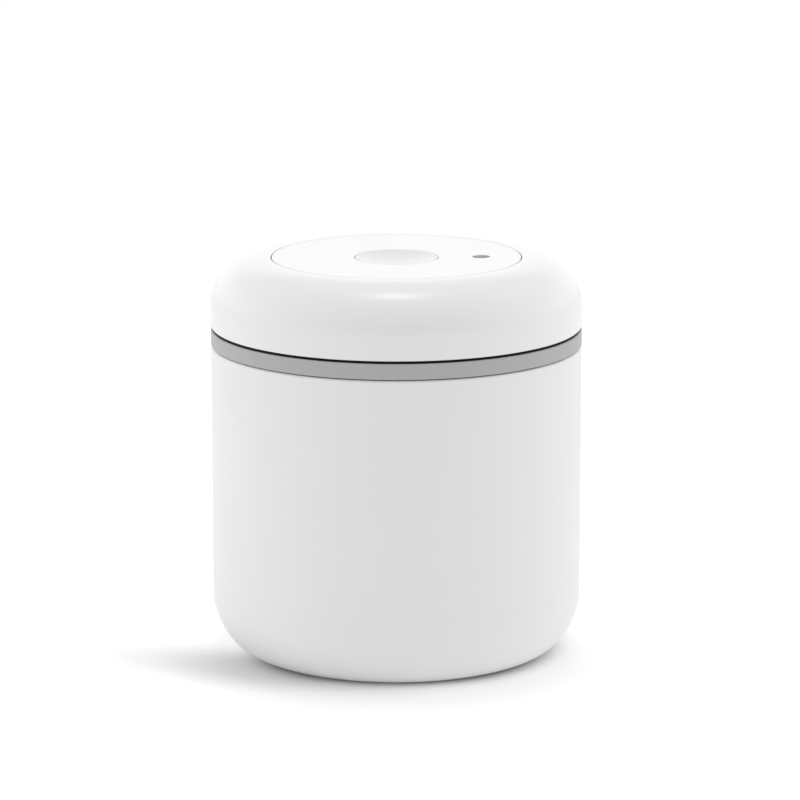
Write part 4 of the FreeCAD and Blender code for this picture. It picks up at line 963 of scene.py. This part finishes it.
class MakeButton(bpy.types.Operator):
    """Model the dished release button"""

    bl_idname = "canister.button"
    bl_label = "Release button"

    def execute(self, context):
        v = context.scene.canister.controls
        top = button_high.z
        edge = v.edge_round
        rim = v.button_radius - edge
        dish_arc = (rim * rim + v.button_dish * v.button_dish) / (v.button_dish * 2)
        half = math.degrees(math.asin(rim / dish_arc))
        flange_bottom = v.flange_top - v.flange_thickness
        outline = [(v.hub_bore, button_low.z), (v.hub_radius, button_low.z), (v.hub_radius, flange_bottom)]
        outline += [(button_high.x, flange_bottom), (button_high.x, v.flange_top)]
        outline += [(v.button_radius, v.flange_top)]
        outline += bend(rim, top - edge, edge, 0.0, 90.0, ROUNDING_STEP)
        outline += bend(0.0, top - v.button_dish + dish_arc, dish_arc, half - 90.0, -90.0, DISH_STEP)[1:]
        outline += [(0.0, v.socket_top), (v.hub_bore, v.socket_top), (v.hub_bore, button_low.z)]
        piece = spun("button_cap", outline, closed=False, steps=BUTTON_STEPS)
        settle(piece, "release_button", "button", "white_plastic", "button")
        return {"FINISHED"}


class MakeIndicator(bpy.types.Operator):
    """Model the pin that shows whether the vacuum holds"""

    bl_idname = "canister.indicator"
    bl_label = "Vacuum indicator"

    def execute(self, context):
        v = context.scene.canister.controls
        foot = pin_low.z
        top = pin_high.z
        edge = v.edge_round
        middle = foot + v.pin_piston_length / 2
        collar_low = v.collar_top - v.collar_thickness
        outline = [(0.0, foot), (v.pin_piston, foot)]
        outline += [(v.pin_piston, middle - v.pin_groove_half), (v.pin_groove, middle - v.pin_groove_half)]
        outline += [(v.pin_groove, middle + v.pin_groove_half), (v.pin_piston, middle + v.pin_groove_half)]
        outline += [(v.pin_piston, foot + v.pin_piston_length), (v.pin_shaft, foot + v.pin_piston_length)]
        outline += [(v.pin_shaft, collar_low), (pin_high.x - pin_axis, collar_low)]
        outline += [(pin_high.x - pin_axis, v.collar_top), (v.pin_head, v.collar_top)]
        outline += bend(v.pin_head - edge, top - edge, edge, 0.0, 90.0, ROUNDING_STEP)
        outline += [(v.pin_head / 2, top), (0.0, top)]
        piece = spun("indicator_head", outline, False, pin_axis, SMALL_STEPS)
        settle(piece, "indicator_pin", "indicator", "indicator_grey", "indicator")
        return {"FINISHED"}


class MakeGasket(bpy.types.Operator):
    """Model the gasket in the mouth, with its two fins"""

    bl_idname = "canister.gasket"
    bl_label = "Gasket"

    def execute(self, context):
        v = context.scene.canister.seals
        inner = v.gasket_inner
        sleeve = inner + v.sleeve_wall
        half = v.fin_height / 2
        low = gasket_low.z + v.fin_height
        tip = v.fin_round
        corners = [(inner, gasket_low.z, v.sleeve_wall / 4), (sleeve, gasket_low.z, v.sleeve_wall / 4)]
        for middle in (low, low + v.fin_pitch):
            corners.append((sleeve, middle - half, tip))
            corners.append((v.fin_tip, middle, tip))
            corners.append((sleeve, middle + half, tip))
        corners.append((sleeve, v.flange_bottom, tip))
        corners.append((gasket_high.x, v.flange_bottom, v.flange_round))
        corners.append((gasket_high.x, gasket_high.z, v.flange_round))
        corners.append((inner, gasket_high.z, tip))
        piece = spun("mouth_gasket", rounded(corners))
        settle(piece, "rim_gasket", "lid", "white_silicone", "gasket")
        return {"FINISHED"}


class MakeSeals(bpy.types.Operator):
    """Model the cord seals of the pump and the flat seal of the release valve"""

    bl_idname = "canister.seals"
    bl_label = "Seals"

    def execute(self, context):
        v = context.scene.canister.seals
        bodies = {
            "cylinder_seal": "lid",
            "piston_seal": "piston",
            "tube_seal": "piston",
            "guide_seal": "piston",
            "indicator_seal": "indicator",
        }
        turn = math.degrees(v.line_turn)
        for node, body in bodies.items():
            low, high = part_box(node)
            cord = (high.z - low.z) / 2
            axis = (low.x + high.x) / 2
            middle = (high.x - low.x) / 2 - cord
            up = (low.z + high.z) / 2
            face = cord * v.cord_share
            outline = [(middle + cord, up)]
            outline += bend(middle, up, face, turn, 180.0 - turn, CORD_STEP)
            outline += [(middle - cord, up)]
            outline += bend(middle, up, face, 180.0 + turn, 360.0 - turn, CORD_STEP)
            steps = LARGE_SEAL_STEPS if middle > v.large_seal else SMALL_STEPS
            piece = spun(node + "_ring", outline, True, axis, steps)
            settle(piece, node, body, "black_rubber", "rubber", corner=CORD_CORNER)
        low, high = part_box("poppet_seal")
        edge = (high.z - low.z) / 5
        poppet = spun("poppet_disc", rounded([
            (v.poppet_bore, low.z, 0.0),
            (high.x, low.z, edge),
            (high.x, high.z, edge),
            (v.poppet_bore, high.z, 0.0),
        ]), steps=SMALL_STEPS)
        settle(poppet, "poppet_seal", "button", "grey_silicone", "valve")
        return {"FINISHED"}


class MakeValves(bpy.types.Operator):
    """Model the two umbrella valves"""

    bl_idname = "canister.valves"
    bl_label = "Umbrella valves"

    def execute(self, context):
        v = context.scene.canister.seals
        turn = math.degrees(v.bulb_turn)
        for node, body in (("intake_valve", "lid"), ("exhaust_valve", "piston")):
            low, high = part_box(node)
            flap = (high.x - low.x) / 2
            seat = high.z - v.flap_rise
            bulb_top = low.z + v.bulb_height
            rise = v.flap_rise - v.flap_edge
            cap_arc = (flap * flap + rise * rise) / (rise * 2)
            half = math.degrees(math.asin(flap / cap_arc))
            outline = [(0.0, low.z), (v.stem_radius, low.z)]
            bulb = v.bulb_radius - v.stem_radius
            bulb_middle = bulb_top - v.bulb_height / 2
            outline += bend(v.stem_radius, bulb_middle, bulb, -turn, turn, BULB_STEP)
            outline += [(v.stem_radius, bulb_top), (v.stem_radius, seat)]
            outline += [(flap * v.flap_hollow, seat + v.flap_edge / 4)]
            outline += [(flap * v.flap_seat, seat), (flap, seat + v.flap_edge / 2)]
            outline += bend(0.0, high.z - cap_arc, cap_arc, 90.0 - half, 90.0, FLAP_STEP)
            piece = spun(node + "_flap", outline, False, 0.0, SMALL_STEPS)
            choose(piece)
            bpy.ops.transform.translate(value=((low.x + high.x) / 2, (low.y + high.y) / 2, 0.0))
            bpy.ops.object.transform_apply(location=True, rotation=False, scale=False)
            settle(piece, node, body, "grey_silicone", "valve", corner=FLAP_CORNER)
        return {"FINISHED"}


class MakeSprings(bpy.types.Operator):
    """Wind the springs of the button and the indicator"""

    bl_idname = "canister.springs"
    bl_label = "Springs"

    def execute(self, context):
        v = context.scene.canister.seals
        press = joint_range("button_press")
        drop = joint_range("indicator_drop")
        self.wind(v, "button_spring", v.button_wire, v.button_turns, "button_press", press)
        self.wind(v, "indicator_spring", v.pin_wire, v.pin_turns, "indicator_drop", drop)
        return {"FINISHED"}

    def wind(self, v, node, wire, turns, joint, travel):
        """Wind one spring in the place of its node."""
        low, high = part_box(node)
        axis = (low.x + high.x) / 2
        radius = (high.x - low.x) / 2 - wire / 2
        tall = high.z - low.z
        deselect_all()
        bpy.ops.mesh.primitive_circle_add(vertices=v.wire_sides, radius=wire / 2, fill_type="NOTHING",
                                          location=(radius, 0.0, low.z + wire / 2),
                                          rotation=(math.pi / 2, 0.0, 0.0))
        piece = bpy.context.object
        piece.name = node + "_coil"
        bpy.ops.object.transform_apply(location=True, rotation=True, scale=True)
        bpy.ops.object.modifier_add(type="SCREW")
        coil = piece.modifiers[-1]
        coil.axis = "Z"
        coil.angle = math.tau * turns
        coil.screw_offset = tall - wire
        coil.steps = round(v.wire_steps * turns)
        coil.render_steps = coil.steps
        coil.use_merge_vertices = False
        bpy.ops.object.modifier_apply(modifier=coil.name)
        bpy.ops.object.mode_set(mode="EDIT")
        bpy.ops.mesh.select_all(action="DESELECT")
        bpy.ops.mesh.select_mode(type="EDGE")
        bpy.ops.mesh.select_non_manifold()
        bpy.ops.mesh.fill_holes(sides=0)
        bpy.ops.mesh.select_all(action="SELECT")
        bpy.ops.mesh.normals_make_consistent(inside=False)
        bpy.ops.mesh.select_mode(type="VERT")
        bpy.ops.object.mode_set(mode="OBJECT")
        bpy.ops.transform.translate(value=(axis, 0.0, 0.0))
        bpy.ops.object.transform_apply(location=True, rotation=False, scale=False)
        settle(piece, node, "lid", "stainless_steel", "steel", corner=WIRE_CORNER)
        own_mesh(piece)


def joint_range(name):
    """How far a joint of the frame travels."""
    for joint in frame["joints"]:
        if joint["name"] == name:
            return joint["range_m"][1] - joint["range_m"][0]
    raise ValueError(name)


class FinishInside(bpy.types.Operator):
    """Finish the solids of the lid's base and the pump"""

    bl_idname = "canister.inside"
    bl_label = "Inside finishes"

    def execute(self, context):
        nodes = {
            "inside": ("lid_base", "filter_cap"),
            "acetal": ("pump_cylinder", "retainer_ring", "cam_ring", "piston", "valve_stem"),
            "slip": ("lower_slip_ring", "upper_slip_ring"),
            "steel": ("band_screws", "cylinder_screws", "retainer_screws", "follower_pins"),
            "filter": ("intake_filter",),
        }
        for name, members in nodes.items():
            for node in members:
                slots = frame["nodes"][node].data.materials
                slots.clear()
                slots.append(finish_of(name))
        return {"FINISHED"}


class MakeStage(bpy.types.Operator):
    """Set the floor, the light and the camera"""

    bl_idname = "canister.stage"
    bl_label = "Stage"

    def execute(self, context):
        v = context.scene.canister.stage
        self.lay_floor(v)
        self.light_room(v)
        self.hang_lamp("key", v.key_place, v.key, v.key_size)
        self.hang_lamp("top_lamp", v.top_lamp_place, v.top_lamp, v.top_lamp_size)
        self.set_camera(v)
        context.scene.view_settings.view_transform = "Standard"
        context.scene.view_settings.look = "None"
        return {"FINISHED"}

    def lay_floor(self, v):
        """Lay a pale floor with a painted glow, dark in a painted shadow at the left front and a painted
        contact shadow round the base.
        """
        deselect_all()
        bpy.ops.mesh.primitive_plane_add(size=v.floor_size, location=(0.0, 0.0, 0.0))
        floor = bpy.context.object
        floor.name = "floor"
        finish = new_finish("pale_floor")
        cloud = finish.noise(scale=2.0, detail=2.0)
        tone = finish.between(darker(v.floor, 0.99), v.floor, cloud)
        right, back, _ = finish.split(finish.place())
        # Painted shadow: the glow is taken away in a leaning ellipse at the left front.
        painted_shadow_aside = right + v.painted_shadow_left
        across = painted_shadow_aside * (1.0 / v.painted_shadow_width)
        along = (back + v.painted_shadow_front + painted_shadow_aside * v.painted_shadow_lean) * (1.0 / v.painted_shadow_depth)
        # Painted contact shadow: the glow is taken away in a circle round the base.
        outside_painted_contact_shadow = finish.ease((right - v.painted_contact_shadow_right).diagonal(back), v.painted_contact_shadow, v.painted_contact_shadow_edge)
        glow = finish.ease(across.diagonal(along), v.painted_shadow_core, 1.0) * outside_painted_contact_shadow
        # The glow feeds the floor's emission: painted light from a floor that is no lamp.
        floor.data.materials.append(finish.shade(Base_Color=tone, Roughness=0.8 + cloud * 0.1, IOR=1.2,
                                                 Emission_Color=glow, Emission_Strength=v.glow))

    def light_room(self, v):
        """Light the room from its walls and its ceiling."""
        room = bpy.data.worlds.new("room")
        bpy.context.scene.world = room
        finish = Finish(room)
        right, back, up = finish.split(finish.node("ShaderNodeTexCoord", out="Generated"))
        way = (back * math.cos(v.tilt) - right * math.sin(v.tilt)) * 0.5 + 0.5
        low_walls = self.walls(finish, way, v.front, v.side, v.back)
        high_walls = self.walls(finish, way, v.high_front, v.high_side, v.high_back)
        high = finish.ease(up, v.high_start, v.high_end)
        overhead = finish.ease(up, v.ceiling_start, v.ceiling_end)
        glow = finish.between(finish.between(low_walls, high_walls, high), (v.ceiling,) * 3, overhead)
        shader = finish.node("ShaderNodeBackground", None, {"Color": glow, "Strength": 1.0})
        finish.node("ShaderNodeOutputWorld", None, {"Surface": shader})

    def walls(self, finish, way, front, side, back):
        """The light of the walls, from the camera's side round to the back."""
        stops = [(0.0, grey(front)), (1.0, grey(back)), (0.5, grey(side))]
        return finish.node("ShaderNodeValToRGB", {"stops": stops}, {0: way})

    def hang_lamp(self, name, spot, power, width):
        """Hang a round soft lamp and point it at the canister."""
        deselect_all()
        bpy.ops.object.light_add(type="AREA", location=spot)
        lamp = bpy.context.object
        lamp.name = name
        lamp.data.shape = "DISK"
        lamp.data.size = width
        lamp.data.energy = power
        aim = (vessel_low + dome_high) / 2 - lamp.location
        lamp.rotation_euler = aim.to_track_quat("-Z", "Y").to_euler()

    def set_camera(self, v):
        """Set the camera in front of the canister."""
        deselect_all()
        bpy.ops.object.camera_add(location=v.camera_place, rotation=(math.pi / 2 - v.camera_pitch, 0.0, 0.0))
        camera = bpy.context.object
        camera.name = "camera"
        camera.data.sensor_width = v.sensor
        camera.data.lens = v.lens
        camera.data.clip_start = v.near
        camera.data.clip_end = v.far
        bpy.context.scene.camera = camera


class CanisterPanel(bpy.types.Panel):
    """The canister's pieces, in the order they are made"""

    bl_idname = "VIEW3D_PT_canister"
    bl_label = "Canister"
    bl_space_type = "VIEW_3D"
    bl_region_type = "UI"
    bl_category = "Canister"

    def draw(self, context):
        settings = context.scene.canister
        for maker in MAKERS:
            self.layout.operator(maker.bl_idname)
        for group in (settings.vessel, settings.lid, settings.controls, settings.seals,
                      settings.finish, settings.stage):
            box = self.layout.box()
            for name in group.__annotations__:
                box.prop(group, name)


SETTINGS = (VesselSettings, LidSettings, ControlSettings, SealSettings, FinishSettings, StageSettings,
            CanisterSettings)
MAKERS = (MakeStage, MakeVessel, MakeFoot, MakeBand, MakeDome, MakePlate, MakeButton, MakeIndicator,
          MakeGasket, MakeSeals, MakeValves, MakeSprings, FinishInside)


def register():
    for item in SETTINGS + MAKERS + (CanisterPanel,):
        bpy.utils.register_class(item)
    bpy.types.Scene.canister = bpy.props.PointerProperty(type=CanisterSettings)


def unregister():
    del bpy.types.Scene.canister
    for item in reversed(SETTINGS + MAKERS + (CanisterPanel,)):
        bpy.utils.unregister_class(item)


def main():
    """Make the stage and all pieces."""
    register()
    bpy.ops.canister.stage()
    bpy.ops.canister.vessel()
    bpy.ops.canister.foot()
    bpy.ops.canister.band()
    bpy.ops.canister.dome()
    bpy.ops.canister.plate()
    bpy.ops.canister.button()
    bpy.ops.canister.indicator()
    bpy.ops.canister.gasket()
    bpy.ops.canister.seals()
    bpy.ops.canister.valves()
    bpy.ops.canister.springs()
    bpy.ops.canister.inside()


if __name__ == "__main__":
    main()
